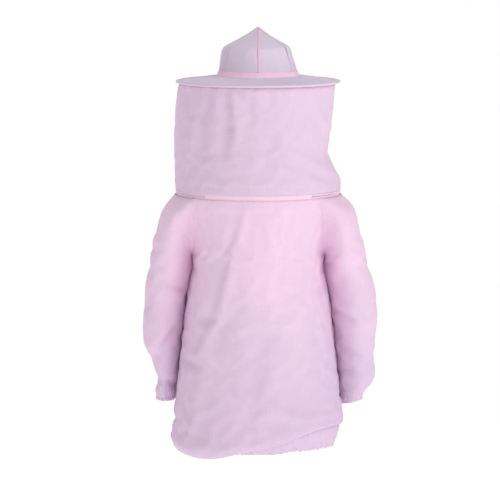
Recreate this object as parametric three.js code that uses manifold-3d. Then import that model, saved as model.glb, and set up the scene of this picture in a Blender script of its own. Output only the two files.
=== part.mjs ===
// Beekeeping jacket with a zip-on hat and veil, in the shape that it has when it is worn.
// Millimetres, +Z up, the wearer faces -Y. The origin is the centre of the neck ring, at the height of
// the shoulders. Cloth is a closed wall a few millimetres thick, and neighbours meet at a sewn gap.
import * as THREE from "three";
import { mergeVertices } from "three/addons/utils/BufferGeometryUtils.js";
import Module from "manifold-3d";

const wasm = await Module();
wasm.setup();

// ---- Driving dimensions ----
const CLOTH = 2.4; // wall of a cloth piece
const SEAM = 0.4; // gap between two pieces that are sewn together
const NECK_RADIUS = 203; // ring where the veil meets the jacket
const SEWN_HALF_ANGLE = 40; // degrees each side of the nape where the veil is sewn on, with no zip

const VEIL_INSET = 5; // from the brim's edge in to the veil
const BRIM_RADIUS = 198; // to the end of the brim's cloth, inside the bound edge
const BRIM_HEIGHT = 269; // of the brim's edge over the neck ring
const BRIM_RISE = 14; // from the brim's edge up to the crown
const BRIM_CLOTH = 1.2;
const BRIM_BOARD = 1.8;
const WIRE_RADIUS = 1.5;
const BINDING_CLOTH = 0.8;
const BINDING_WIDTH = 11;
const HEAD_HALF_WIDTH = 96;
const HEAD_HALF_LENGTH = 106;
const CROWN_WALL_HEIGHT = 76; // from the brim to the ridge where the crown folds in
const CROWN_RIDGE_SHARE = 0.82; // ridge radius over the radius at the brim
const CROWN_HEIGHT = 118; // from the brim to the peak
const CROWN_GORES = 6;
const CROWN_SEAT = 5; // how far the crown's foot stands outside the hole in the brim
const SWEATBAND_HEIGHT = 32;
const SWEATBAND_CLOTH = 1.6;
const MESH_HALF_ANGLE = 78; // degrees each side of the face that the net spans
const CHIN_BAND_HEIGHT = 46;
const GUARD_ANGLE = 18; // degrees round the throat that the inner guard covers
const GUARD_DROP = 26;
const GUARD_CLOTH = 1.4;
const GUARD_OVERLAP = 20; // of the guard behind the chin band
const GUARD_LEAN = 2.6; // clear of the sliders at its foot

const TORSO_LENGTH = 635; // neck ring to hem
const ARMPIT_DROP = 172;
const ARMPIT_HALF_WIDTH = 158;
const HEM_HALF_WIDTH = 210;
const HEM_HALF_DEPTH = 176;
const BLOUSE_HEIGHT = 34; // height over the hem where the cloth turns in to the elastic
const HEM_GATHER = 24; // how far the elastic draws the hem in
const HEM_CASING_HEIGHT = 24;

const RAGLAN_HALF_WIDTH = 153; // from the centre line to the sleeve seam at the neck ring
const SLEEVE_WIDTH = 96; // side to side at the elbow
const SLEEVE_HALF_DEPTH = 67;
const SLEEVE_LENGTH = 522; // neck ring to the cuff's end
const SLEEVE_CLEARANCE = 5; // between the sleeve and the body below the armpit
const SHOULDER_FLARE = 28; // how far the shoulder point lies outside the neck ring
const SHOULDER_DROP = 70;
const CUFF_HALF_WIDTH = 27;
const CUFF_HALF_DEPTH = 36;
const CUFF_CASING_HEIGHT = 20;
const ELASTIC_THICKNESS = 1.4;
const ELASTIC_CLEARANCE = 0.4;
const CASING_EDGE = 4; // from a casing's edge to its elastic

const CHAIN_WIDTH = 2.6; // one row of zip teeth
const CHAIN_THICKNESS = 2.3;
const CHAIN_GAP = 0.8; // from the zip's middle to its teeth, where the slider's web runs
const TAPE_WIDTH = 12.6;
const TAPE_THICKNESS = 1;
const SLIDER_LENGTH = 14;
const SLIDER_HALF_WIDTH = 5;
const SLIDER_PLATE = 1.5;
const SLIDER_CLEARANCE = 0.7;
const WEB_HALF_THICKNESS = 0.4;
const PULL_LENGTH = 32;
const PULL_WIDTH = 8;
const PULL_THICKNESS = 1.2;
const NECK_SLIDER_ANGLE = 5; // degrees from the throat to a closed neck slider's middle
const FRONT_SLIDER_DROP = 30;
const STOP_LENGTH = 6; // metal stop at the foot of the front zip
const BRIDGE_RISE = 4.4; // of a slider's bridge over its plate
const BRIDGE_HALF = 4.6;
const BRIDGE_BAR = 1.1; // the bridge's own thickness
const ZIP_TO_BLOUSE = 4; // from the foot of the front zip to where the cloth turns in

const POCKET_WIDTH = 130;
const POCKET_HEIGHT = 165;
const POCKET_MOUTH_DROP = 350;
const POCKET_FOOT_DROP = POCKET_MOUTH_DROP + POCKET_HEIGHT;
const POCKET_CENTRE = 98; // along the cloth from the front zip to the pocket's middle
const POCKET_FULLNESS = 13; // how far the empty pocket's mouth stands open
const LOOP_WIDTH = 70;
const LOOP_DROP = 16;
const LOOP_CLOTH = 1.6;
const LOOP_TAPE = 5; // width of the tape
const LOOP_TOP = -11; // height at which it is sewn in
const LABEL_WIDTH = 45;
const LABEL_HEIGHT = 30;
const LABEL_CLOTH = 0.8;

const AROUND = 44; // facets round a full ring
const SLEEVE_AROUND = 20;
const ARC_STEP = 6; // degrees to a facet on the neck zips
const REACH = 2000; // larger than the jacket, for cutting blocks

const RAD = Math.PI / 180;
const FRONT = -90; // plan angles: 0 is the wearer's left, -90 the face, 90 the nape
const NAPE = 90;
const ZIP_EDGE = CHAIN_GAP + CHAIN_WIDTH + SEAM; // from the zip's middle to the tape
const CLOTH_EDGE = ZIP_EDGE + TAPE_WIDTH + SEAM; // from the zip's middle to the garment's cloth
const ZIP_HALF_ANGLE = 180 - SEWN_HALF_ANGLE; // degrees each side of the face that the neck zips reach

const PINK = { color: 0xf1d3e6, roughness: 0.9, metalness: 0 };
const DEEP_PINK = { color: 0xf7cfe2, roughness: 0.9, metalness: 0 };
const NET = { color: 0x17171a, roughness: 0.8, metalness: 0 };
const WHITE = { color: 0xf4f2f3, roughness: 0.7, metalness: 0 };
const STEEL = { color: 0xb9bbc0, roughness: 0.35, metalness: 1 };
const BOARD = { color: 0xe9e7e4, roughness: 0.6, metalness: 0 };

const jacket = new THREE.Group();

// ---- Shape helpers ----

// A mesh geometry with its doubled corners joined, so that it is one closed surface.
function joined(source) {
  const bare = new THREE.BufferGeometry().setAttribute("position", source.getAttribute("position"));
  bare.setIndex(source.index);
  return mergeVertices(bare, 1e-4);
}

// A closed geometry as a manifold-3d solid, turned right way out.
function solid(source) {
  const closed = joined(source);
  const triVerts = new Uint32Array(closed.index.array);
  const vertProperties = new Float32Array(closed.attributes.position.array);
  const made = new wasm.Manifold(new wasm.Mesh({ numProp: 3, vertProperties, triVerts }));
  if (made.volume() > 0) return made;
  triVerts.reverse();
  return new wasm.Manifold(new wasm.Mesh({ numProp: 3, vertProperties, triVerts }));
}

function add(name, shape, finish, parent = jacket) {
  const cut = shape.getMesh();
  const geometry = new THREE.BufferGeometry();
  geometry.setAttribute("position", new THREE.BufferAttribute(cut.vertProperties, 3));
  geometry.setIndex(new THREE.BufferAttribute(cut.triVerts, 1));
  geometry.computeVertexNormals();
  const mesh = new THREE.Mesh(geometry, new THREE.MeshStandardMaterial(finish));
  mesh.name = name;
  parent.add(mesh);
}

// Moves each vertex of a unit-sized geometry to place(x, y, z), which returns [x, y, z].
function mapped(source, place) {
  const geometry = joined(source);
  const at = geometry.getAttribute("position");
  for (let i = 0; i < at.count; i++) at.setXYZ(i, ...place(at.getX(i), at.getY(i), at.getZ(i)));
  return solid(geometry);
}

const bearing = (x, z) => Math.atan2(-z, x) / RAD;

// A solid whose level sections are section(angle, t), with t 0 at the bottom and 1 at the top.
function loft(around, rows, section, centre) {
  return mapped(new THREE.CylinderGeometry(1, 1, 1, around, rows), (x, y, z) => {
    const t = y + 0.5;
    const rim = section(bearing(x, z), t);
    const middle = centre(t);
    const share = Math.hypot(x, z);
    return rim.map((value, k) => middle[k] + share * (value - middle[k]));
  });
}

// A closed band round the wearer: place(angle, t, side), with side 0 inside and 1 outside.
function band(around, rows, place) {
  const path = [];
  for (let i = 0; i <= rows; i++) path.push(new THREE.Vector2(2, i / rows));
  for (let i = rows; i >= 0; i--) path.push(new THREE.Vector2(3, i / rows));
  path.push(path[0].clone());
  return mapped(new THREE.LatheGeometry(path, around), (x, y, z) =>
    place(bearing(x, z), y, Math.round(Math.hypot(x, z) - 2)),
  );
}

// A sheet of cloth: place(u, t, side), with u and t from 0 to 1 and side 0 inside and 1 outside.
function sheet(across, rows, place) {
  const slab = new THREE.BoxGeometry(1, 1, 1, across, rows, 1);
  return mapped(slab, (x, y, z) => place(x + 0.5, y + 0.5, z + 0.5));
}

function block(x0, x1, y0, y1, z0, z1) {
  const box = new THREE.BoxGeometry(x1 - x0, y1 - y0, z1 - z0);
  return solid(box.translate((x0 + x1) / 2, (y0 + y1) / 2, (z0 + z1) / 2));
}

const mix = (a, b, share) => a + (b - a) * share;

function polar(radius, angle, height) {
  return [radius * Math.cos(angle * RAD), radius * Math.sin(angle * RAD), height];
}

// The value at a drop below the neck ring, from stations of [drop, value], joined by straight lines.
function along(stations, drop) {
  const last = stations.length - 1;
  if (drop <= stations[0][0]) return stations[0][1];
  if (drop >= stations[last][0]) return stations[last][1];
  const i = stations.findIndex(([at]) => at > drop);
  const [d0, v0] = stations[i - 1];
  const [d1, v1] = stations[i];
  return mix(v0, v1, (drop - d0) / (d1 - d0));
}

// ---- The body of the jacket ----
const BLOUSE_DROP = TORSO_LENGTH - BLOUSE_HEIGHT;
const FRONT_ZIP_LENGTH = BLOUSE_DROP - ZIP_TO_BLOUSE;
const HALF_WIDTH = [
  [0, NECK_RADIUS],
  [ARMPIT_DROP * 0.5, mix(NECK_RADIUS, ARMPIT_HALF_WIDTH, 0.62)],
  [ARMPIT_DROP, ARMPIT_HALF_WIDTH],
  [mix(ARMPIT_DROP, BLOUSE_DROP, 0.23), mix(ARMPIT_HALF_WIDTH, HEM_HALF_WIDTH, 0.36)],
  [mix(ARMPIT_DROP, BLOUSE_DROP, 0.8), mix(ARMPIT_HALF_WIDTH, HEM_HALF_WIDTH, 0.87)],
  [BLOUSE_DROP, HEM_HALF_WIDTH],
  [TORSO_LENGTH, HEM_HALF_WIDTH - HEM_GATHER],
];
const HALF_DEPTH = [
  [0, NECK_RADIUS],
  [BLOUSE_DROP, HEM_HALF_DEPTH],
  [TORSO_LENGTH, HEM_HALF_DEPTH - HEM_GATHER],
];

function torsoPoint(angle, drop, inset = 0) {
  return [
    (along(HALF_WIDTH, drop) - inset) * Math.cos(angle * RAD),
    (along(HALF_DEPTH, drop) - inset) * Math.sin(angle * RAD),
    -drop,
  ];
}

// The body as a solid lump, grown or shrunk, from a drop below the neck ring down to another.
function torsoLump(grow, top, bottom) {
  const between = HALF_WIDTH.map(([drop]) => drop).filter((drop) => drop > top && drop < bottom);
  const drops = [top, ...between, bottom];
  const rows = drops.length - 1;
  const dropAt = (t) => drops[Math.round((1 - t) * rows)];
  return loft(
    AROUND,
    rows,
    (angle, t) => torsoPoint(angle, dropAt(t), -grow),
    (t) => [0, 0, -dropAt(t)],
  );
}

// ---- The sleeves ----
const underarm = (drop) => along(HALF_WIDTH, drop) + SLEEVE_CLEARANCE;
const CUFF_DROP = SLEEVE_LENGTH - CUFF_CASING_HEIGHT;
const downArm = (share) => mix(ARMPIT_DROP, CUFF_DROP, share);
const [UPPER_ARM, ELBOW, FOREARM, WRIST] = [0.18, 0.45, 0.7, 0.87].map(downArm);
const RAGLAN_MIDDLE = mix(SHOULDER_DROP, ARMPIT_DROP, 0.5);
const SHOULDER_DROPS = [0, SHOULDER_DROP / 2, SHOULDER_DROP, RAGLAN_MIDDLE, ARMPIT_DROP];
const SLEEVE_DROPS = [...SHOULDER_DROPS, UPPER_ARM, ELBOW, FOREARM, WRIST, CUFF_DROP, SLEEVE_LENGTH];
const SLEEVE_INNER = [
  [0, RAGLAN_HALF_WIDTH],
  [ARMPIT_DROP * 0.7, RAGLAN_HALF_WIDTH],
  [ARMPIT_DROP + 10, underarm(ARMPIT_DROP + 10)],
  ...SLEEVE_DROPS.slice(SHOULDER_DROPS.length).map((drop) => [drop, underarm(drop)]),
];
const SLEEVE_OUTER = [
  [0, NECK_RADIUS + 1.5],
  [SHOULDER_DROP, NECK_RADIUS + SHOULDER_FLARE],
  [SHOULDER_DROPS[3], underarm(UPPER_ARM) + SLEEVE_WIDTH * 0.86],
  [ARMPIT_DROP, underarm(UPPER_ARM) + SLEEVE_WIDTH * 0.94],
  [UPPER_ARM, underarm(UPPER_ARM) + SLEEVE_WIDTH],
  [ELBOW, underarm(ELBOW) + SLEEVE_WIDTH],
  [FOREARM, underarm(FOREARM) + SLEEVE_WIDTH * 0.84],
  [WRIST, underarm(WRIST) + SLEEVE_WIDTH * 0.74],
  [CUFF_DROP, underarm(CUFF_DROP) + 2 * CUFF_HALF_WIDTH],
  [SLEEVE_LENGTH, underarm(SLEEVE_LENGTH) + 2 * CUFF_HALF_WIDTH],
];
const RAGLAN_HALF_DEPTH = Math.sqrt((NECK_RADIUS + 1.5) ** 2 - RAGLAN_HALF_WIDTH ** 2);
const SLEEVE_DEPTH = [
  [0, RAGLAN_HALF_DEPTH],
  [SHOULDER_DROP, RAGLAN_HALF_DEPTH * 0.93],
  [ARMPIT_DROP, SLEEVE_HALF_DEPTH * 1.3],
  [UPPER_ARM, SLEEVE_HALF_DEPTH * 1.06],
  [ELBOW, SLEEVE_HALF_DEPTH],
  [WRIST, SLEEVE_HALF_DEPTH * 0.82],
  [CUFF_DROP, CUFF_HALF_DEPTH],
  [SLEEVE_LENGTH, CUFF_HALF_DEPTH],
];
const ARM_FORWARD = [
  [0, 0],
  [ARMPIT_DROP, -2],
  [ELBOW, -9],
  [FOREARM, -18],
  [SLEEVE_LENGTH, -36],
];

// A point on the left sleeve. Its outer side follows the neck ring, and lower down it is an oval.
function sleevePoint(angle, drop, inset = 0) {
  const inner = along(SLEEVE_INNER, drop) + inset;
  const outer = along(SLEEVE_OUTER, drop) - inset;
  const halfDepth = along(SLEEVE_DEPTH, drop) - inset;
  const side = Math.cos(angle * RAD);
  const y = halfDepth * Math.sin(angle * RAD);
  const middle = (inner + outer) / 2;
  const oval = middle + (side * (outer - inner)) / 2;
  const ring = side > 0 ? Math.max(inner, Math.sqrt(Math.max(outer ** 2 - y ** 2, 0))) : inner;
  const x = mix(ring, oval, THREE.MathUtils.smoothstep(drop, 0, 110));
  return [x, y + along(ARM_FORWARD, drop), -drop];
}

// The sleeve as a solid lump, grown or shrunk. Over the neck ring it goes straight up.
function sleeveLump(grow, top, bottom) {
  const drops = [top, ...SLEEVE_DROPS.filter((d) => d > top && d < bottom), bottom];
  const rows = drops.length - 1;
  const dropAt = (t) => drops[Math.round((1 - t) * rows)];
  const section = (angle, t) => {
    const [x, y] = sleevePoint(angle, Math.max(dropAt(t), 0), -grow);
    return [x, y, -dropAt(t)];
  };
  const centre = (t) => {
    const drop = Math.max(dropAt(t), 0);
    const middle = (along(SLEEVE_INNER, drop) + along(SLEEVE_OUTER, drop)) / 2;
    return [middle, along(ARM_FORWARD, drop), -dropAt(t)];
  };
  return loft(SLEEVE_AROUND, rows, section, centre);
}

// The half-space under the plane that parts the shoulder from the sleeve that swings.
const SHOULDER_POINT = [NECK_RADIUS + SHOULDER_FLARE + 5, -SHOULDER_DROP];
const ARMPIT_POINT = [ARMPIT_HALF_WIDTH - 4, -(ARMPIT_DROP + 14)];
const CUT_RISE = SHOULDER_POINT[1] - ARMPIT_POINT[1];
const SHOULDER_SLOPE = Math.atan2(CUT_RISE, SHOULDER_POINT[0] - ARMPIT_POINT[0]);

function belowShoulder(gap) {
  const under = new THREE.BoxGeometry(REACH, REACH, REACH).translate(0, 0, -REACH / 2 - gap);
  under.rotateY(-SHOULDER_SLOPE);
  return solid(under.translate(ARMPIT_POINT[0], 0, ARMPIT_POINT[1]));
}

const mirrored = (shape) => shape.mirror([1, 0, 0]);

// A tube of the sleeve's shape between two drops, with the inset of its outer and its inner face.
function sleeveTube(outside, inside, top, bottom) {
  const past = 9; // the hollow runs past both ends
  return sleeveLump(-outside, top, bottom).subtract(sleeveLump(-inside, top - past, bottom + past));
}

function sleeves() {
  const body = torsoLump(1.5 * SEAM, 0, ARMPIT_DROP + 30);
  const lining = CLOTH + ELASTIC_CLEARANCE;
  const arm = sleeveTube(0, CLOTH, CLOTH_EDGE, CUFF_DROP - SEAM);
  const casing = sleeveTube(0, CLOTH, CUFF_DROP, SLEEVE_LENGTH);
  const elastic = sleeveTube(lining, lining + ELASTIC_THICKNESS, CUFF_DROP + CASING_EDGE, SLEEVE_LENGTH - CASING_EDGE);
  for (const [side, turn] of [["left", (shape) => shape], ["right", mirrored]]) {
    const sleeve = turn(arm).subtract(body);
    add("shoulder_" + side, largest(sleeve.subtract(turn(belowShoulder(-SEAM / 2)))), PINK);
    add("sleeve_" + side, largest(sleeve.intersect(turn(belowShoulder(SEAM / 2)))), PINK);
    add("cuff_casing_" + side, turn(casing), DEEP_PINK);
    add("cuff_elastic_" + side, turn(elastic), WHITE);
  }
}

// A cut can leave slivers beside the piece that is wanted.
function largest(shape) {
  return shape.decompose().sort((a, b) => b.volume() - a.volume())[0];
}

// ---- Back and front panels, hem ----
const HEM_TOP = TORSO_LENGTH - HEM_CASING_HEIGHT;

function bodyPanels() {
  const arms = sleeveLump(0, -9, ARMPIT_DROP + 30);
  const wall = torsoLump(0, CLOTH_EDGE, HEM_TOP - SEAM)
    .subtract(torsoLump(-CLOTH, CLOTH_EDGE - 9, HEM_TOP + 9))
    .subtract(arms)
    .subtract(mirrored(arms));
  const zip = block(-CLOTH_EDGE, CLOTH_EDGE, -REACH, 0, -FRONT_ZIP_LENGTH, REACH);
  const belowZip = block(-SEAM / 2, SEAM / 2, -REACH, 0, -REACH, -FRONT_ZIP_LENGTH + SEAM);
  const behind = block(-REACH, REACH, SEAM / 2, REACH, -REACH, REACH);
  const before = block(-REACH, REACH, -REACH, -SEAM / 2, -REACH, REACH);
  const front = wall.intersect(before).subtract(zip).subtract(belowZip);
  const leftOfZip = block(0, REACH, -REACH, REACH, -REACH, REACH);
  add("back_panel", largest(wall.intersect(behind)), PINK);
  add("front_panel_left", largest(front.intersect(leftOfZip)), PINK);
  add("front_panel_right", largest(front.subtract(leftOfZip)), PINK);
}

function hem() {
  const ring = (inset, wall, top, bottom) =>
    band(AROUND, 1, (angle, t, side) => torsoPoint(angle, mix(bottom, top, t), inset + (side ? 0 : wall)));
  add("hem_casing", ring(0, CLOTH, HEM_TOP, TORSO_LENGTH), DEEP_PINK);
  const inside = CLOTH + ELASTIC_CLEARANCE;
  const elastic = ring(inside, ELASTIC_THICKNESS, HEM_TOP + CASING_EDGE, TORSO_LENGTH - CASING_EDGE);
  add("hem_elastic", elastic, WHITE);
}

// ---- Zips ----

// Part of a ring at the neck, between two angles, two heights and two radii.
function neckArc(from, to, low, high, inner, outer) {
  const across = Math.max(2, Math.round(Math.abs(to - from) / ARC_STEP));
  const point = (u, t, side) => polar(mix(inner, outer, side), mix(from, to, u), mix(low, high, t));
  return sheet(across, 1, point);
}

const CHAIN_OUTER = NECK_RADIUS;
const CHAIN_INNER = NECK_RADIUS - CHAIN_THICKNESS;
const TAPE_INNER = NECK_RADIUS - (CHAIN_THICKNESS + TAPE_THICKNESS) / 2;
const TAPE_OUTER = TAPE_INNER + TAPE_THICKNESS;
const throatMargin = (CHAIN_GAP / NECK_RADIUS) / RAD;

function neckZips() {
  for (const [side, sign] of [["left", 1], ["right", -1]]) {
    const from = FRONT + sign * throatMargin;
    const to = FRONT + sign * (ZIP_HALF_ANGLE - 0.3);
    const pair = (name, low, high, inner, outer) => {
      add(name + "_upper_" + side, neckArc(from, to, low, high, inner, outer), WHITE);
      add(name + "_lower_" + side, neckArc(from, to, -high, -low, inner, outer), WHITE);
    };
    pair("neck_teeth", CHAIN_GAP, CHAIN_GAP + CHAIN_WIDTH, CHAIN_INNER, CHAIN_OUTER);
    pair("neck_tape", ZIP_EDGE, ZIP_EDGE + TAPE_WIDTH, TAPE_INNER, TAPE_OUTER);
  }
  const from = NAPE - SEWN_HALF_ANGLE + 0.3;
  const to = NAPE + SEWN_HALF_ANGLE - 0.3;
  const height = CLOTH_EDGE - SEAM;
  add("nape_seam", neckArc(from, to, -height, height, NECK_RADIUS - CLOTH, NECK_RADIUS), DEEP_PINK);
}

// The front edge of the body is a straight line, so the front zip is too.
const frontY = (drop) => -along(HALF_DEPTH, drop);
const FRONT_TILT = Math.atan2(frontY(FRONT_ZIP_LENGTH) - frontY(0), FRONT_ZIP_LENGTH);

// Turns what is drawn about a zip that runs straight down from the throat into its place on the jacket.
function onFrontZip(geometry) {
  return geometry.rotateX(FRONT_TILT).translate(0, frontY(0), 0);
}

function frontZip() {
  const top = -CLOTH_EDGE;
  const foot = -FRONT_ZIP_LENGTH + STOP_LENGTH + 2;
  const strip = (name, near, far, thickness, depth) => {
    for (const [side, sign] of [["left", 1], ["right", -1]]) {
      const bar = new THREE.BoxGeometry(far - near, thickness, top - foot);
      bar.translate((sign * (near + far)) / 2, depth, (top + foot) / 2);
      add(name + "_" + side, solid(onFrontZip(bar)), WHITE);
    }
  };
  strip("front_teeth", CHAIN_GAP, CHAIN_GAP + CHAIN_WIDTH, CHAIN_THICKNESS, CHAIN_THICKNESS / 2);
  const tapeDepth = (CHAIN_THICKNESS + TAPE_THICKNESS) / 2;
  strip("front_tape", ZIP_EDGE, ZIP_EDGE + TAPE_WIDTH, TAPE_THICKNESS, tapeDepth);
  const stop = new THREE.BoxGeometry(2 * (CHAIN_GAP + CHAIN_WIDTH), CHAIN_THICKNESS + 1, STOP_LENGTH);
  stop.translate(0, CHAIN_THICKNESS / 2, foot - STOP_LENGTH / 2 - SEAM);
  add("front_zip_stop", solid(onFrontZip(stop)), STEEL);
}

// A slider that runs along +Z, with its outer face towards -Y and the teeth's outer face at y 0.
function sliderShape() {
  const outer = -SLIDER_CLEARANCE;
  const inner = CHAIN_THICKNESS + SLIDER_CLEARANCE;
  const half = SLIDER_LENGTH / 2;
  const plate = (y) => block(-SLIDER_HALF_WIDTH, SLIDER_HALF_WIDTH, y, y + SLIDER_PLATE, -half, half);
  const web = block(-WEB_HALF_THICKNESS, WEB_HALF_THICKNESS, outer - 0.5, inner + 0.5, -half + 2, half - 2);
  const bridgeTop = outer - SLIDER_PLATE - BRIDGE_RISE;
  const bridge = block(-1, 1, bridgeTop, outer - 0.5, -BRIDGE_HALF, BRIDGE_HALF);
  const windowHalf = BRIDGE_HALF - BRIDGE_BAR;
  const window = block(-2, 2, bridgeTop + BRIDGE_BAR, outer - SLIDER_PLATE, -windowHalf, windowHalf);
  return plate(outer - SLIDER_PLATE).add(plate(inner)).add(web).add(bridge.subtract(window));
}

// The pull's eye goes round the bridge, and its bar is the line that it turns about.
// Its depth is counted from the teeth's outer face.
const PULL_AXIS_DEPTH = -SLIDER_CLEARANCE - SLIDER_PLATE - (BRIDGE_RISE - BRIDGE_BAR) / 2;
const PULL_NECK = 7; // from the bar to the tab, longer than the bridge's reach
const PULL_ARM = 1.2;

function pullShape() {
  const half = PULL_THICKNESS / 2;
  const y0 = PULL_AXIS_DEPTH - half;
  const y1 = PULL_AXIS_DEPTH + half;
  const barHalf = BRIDGE_BAR + 2 * PULL_ARM - 0.6; // the eye clears the bridge at both sides
  const bar = block(-barHalf, barHalf, y0, y1, -half, half);
  const arm = (x) => block(x - PULL_ARM / 2, x + PULL_ARM / 2, y0, y1, -PULL_NECK - 0.5, half);
  const armAt = barHalf - PULL_ARM / 2;
  const tab = block(-PULL_WIDTH / 2, PULL_WIDTH / 2, y0, y1, -PULL_LENGTH, -PULL_NECK);
  const hole = block(-1.6, 1.6, y0 - 1, y1 + 1, -PULL_LENGTH + 4, -PULL_LENGTH + 11);
  return bar.add(arm(-armAt)).add(arm(armAt)).add(tab).subtract(hole);
}

// Lays a slider or pull, drawn along +Z, sideways into the neck zip at an angle round the ring.
function onNeckZip(shape, angle, travel) {
  const lying = shape.rotate([0, travel, 0]);
  return lying.translate([0, -NECK_RADIUS, 0]).rotate([0, 0, angle - FRONT]);
}

function sliders() {
  for (const [side, sign] of [["left", 1], ["right", -1]]) {
    const angle = FRONT + sign * NECK_SLIDER_ANGLE;
    add("neck_slider_" + side, onNeckZip(sliderShape(), angle, -90 * sign), STEEL);
    add("neck_pull_" + side, onNeckZip(pullShape(), angle, -90 * sign), STEEL);
  }
  const toFront = (shape) => {
    const lowered = shape.translate([0, 0, -FRONT_SLIDER_DROP]);
    return lowered.rotate([FRONT_TILT / RAD, 0, 0]).translate([0, frontY(0), 0]);
  };
  add("front_slider", toFront(sliderShape()), STEEL);
  add("front_pull", toFront(pullShape()), STEEL);
}

// ---- Veil ----
const VEIL_FOOT = CLOTH_EDGE;
// The veil ends under the lower lip of the brim's binding, which rises towards the crown.
const LIP_RISE = (BRIM_RISE * VEIL_INSET) / (BRIM_RADIUS - HEAD_HALF_WIDTH);
const VEIL_HEAD = BRIM_HEIGHT + LIP_RISE - BINDING_CLOTH - 2 * SEAM;
const veilRadius = (height) => mix(NECK_RADIUS, BRIM_RADIUS - VEIL_INSET, height / VEIL_HEAD);

function veilPart(from, to, low, high, rows) {
  const across = Math.round((to - from) / 6);
  return sheet(across, rows, (u, t, side) => {
    const height = mix(low, high, t);
    return polar(veilRadius(height) - (side ? 0 : CLOTH), mix(from, to, u), height);
  });
}

function veil() {
  const gap = (SEAM / NECK_RADIUS) / RAD;
  const meshEdge = MESH_HALF_ANGLE - gap;
  const chinTop = VEIL_FOOT + CHIN_BAND_HEIGHT;
  const [clothFrom, clothTo] = [FRONT + MESH_HALF_ANGLE, FRONT + 360 - MESH_HALF_ANGLE];
  add("veil_cloth", veilPart(clothFrom, clothTo, VEIL_FOOT, VEIL_HEAD, 4), PINK);
  add("veil_net", veilPart(FRONT - meshEdge, FRONT + meshEdge, chinTop + SEAM, VEIL_HEAD, 4), NET);
  add("chin_band", veilPart(FRONT - meshEdge, FRONT + meshEdge, VEIL_FOOT, chinTop, 1), PINK);
  // The guard hangs inside the sliders from the chin band, and leans in to clear the front slider too.
  const guardTop = VEIL_FOOT + GUARD_OVERLAP;
  const topRadius = veilRadius(guardTop) - CLOTH - 2 * SEAM;
  const insideZip = CHAIN_THICKNESS + SLIDER_CLEARANCE + SLIDER_PLATE;
  const footRadius = NECK_RADIUS - insideZip - GUARD_LEAN;
  const guard = sheet(3, 1, (u, t, side) => {
    const radius = mix(footRadius, topRadius, t) - (side ? 0 : GUARD_CLOTH);
    return polar(radius, FRONT + (u - 0.5) * GUARD_ANGLE, mix(-GUARD_DROP, guardTop, t));
  });
  add("throat_guard", guard, DEEP_PINK);
}

// ---- Hat ----

// Height and share of the way out, from the crown (0) to the brim's edge (1).
function brimPoint(angle, share, lift) {
  const head = [HEAD_HALF_WIDTH * Math.cos(angle * RAD), HEAD_HALF_LENGTH * Math.sin(angle * RAD)];
  const edge = polar(BRIM_RADIUS, angle, 0);
  const height = BRIM_HEIGHT + BRIM_RISE * (1 - share) + lift;
  return [mix(head[0], edge[0], share), mix(head[1], edge[1], share), height];
}

const BRIM_STACK = 2 * BRIM_CLOTH + BRIM_BOARD + 2 * SEAM; // under-cloth, board and top cloth

function brim() {
  const layer = (low, thickness, from, to) =>
    band(AROUND, 1, (angle, t, side) => brimPoint(angle, mix(from, to, side), low + t * thickness));
  add("brim_under_cloth", layer(0, BRIM_CLOTH, 0, 1), PINK);
  add("brim_board", layer(BRIM_CLOTH + SEAM, BRIM_BOARD, 0.02, 0.985), BOARD);
  add("brim_top_cloth", layer(BRIM_CLOTH + BRIM_BOARD + 2 * SEAM, BRIM_CLOTH, 0, 1), PINK);

  const middle = BRIM_HEIGHT + BRIM_STACK / 2;
  const wireRing = BRIM_RADIUS + WIRE_RADIUS + SEAM;
  const wire = new THREE.TorusGeometry(wireRing, WIRE_RADIUS, 6, AROUND);
  add("brim_wire", solid(wire.translate(0, 0, middle)), STEEL);

  // The binding's lips follow the cone, whose slope is least over the ears and most over the face.
  const rise = (head, radius) => (BRIM_RISE * (BRIM_RADIUS - radius)) / (BRIM_RADIUS - head);
  const face = BRIM_STACK / 2 + SEAM;
  const above = (radius) => [radius, face + rise(HEAD_HALF_LENGTH, radius)];
  const below = (radius) => [radius, -face + rise(HEAD_HALF_WIDTH, radius)];
  const reach = wireRing + WIRE_RADIUS + SEAM;
  const lip = BRIM_RADIUS - BINDING_WIDTH;
  const grown = ([radius, height], out, up) => [radius + out, height + up];
  const outline = [
    above(lip),
    above(reach),
    below(reach),
    below(lip),
    grown(below(lip), 0, -BINDING_CLOTH),
    grown(below(reach), BINDING_CLOTH, -BINDING_CLOTH),
    grown(above(reach), BINDING_CLOTH, BINDING_CLOTH),
    grown(above(lip), 0, BINDING_CLOTH),
  ].map(([radius, height]) => new THREE.Vector2(radius, middle + height));
  outline.push(outline[0].clone());
  const binding = mapped(new THREE.LatheGeometry(outline, AROUND), (x, y, z) => [x, -z, y]);
  add("brim_binding", binding, DEEP_PINK);
}

// The crown's outline, as [height over the brim, share of the head's size].
const CROWN_HALF_WIDTH = HEAD_HALF_WIDTH + CROWN_SEAT;
const CROWN_HALF_LENGTH = HEAD_HALF_LENGTH + CROWN_SEAT;
const CROWN_FOOT = BRIM_HEIGHT + BRIM_RISE + BRIM_STACK + SEAM;
const CROWN_OUTLINE = [
  [0, 1],
  [CROWN_WALL_HEIGHT * 0.5, mix(1, CROWN_RIDGE_SHARE, 0.35)],
  [CROWN_WALL_HEIGHT * 0.88, mix(1, CROWN_RIDGE_SHARE, 0.72)],
  [CROWN_WALL_HEIGHT, CROWN_RIDGE_SHARE],
  [mix(CROWN_WALL_HEIGHT, CROWN_HEIGHT, 0.46), CROWN_RIDGE_SHARE * 0.5],
  [CROWN_HEIGHT, 0.03],
];
const GORE_FLATNESS = 0.35; // 0 is a round head, 1 a six-sided one

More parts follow.
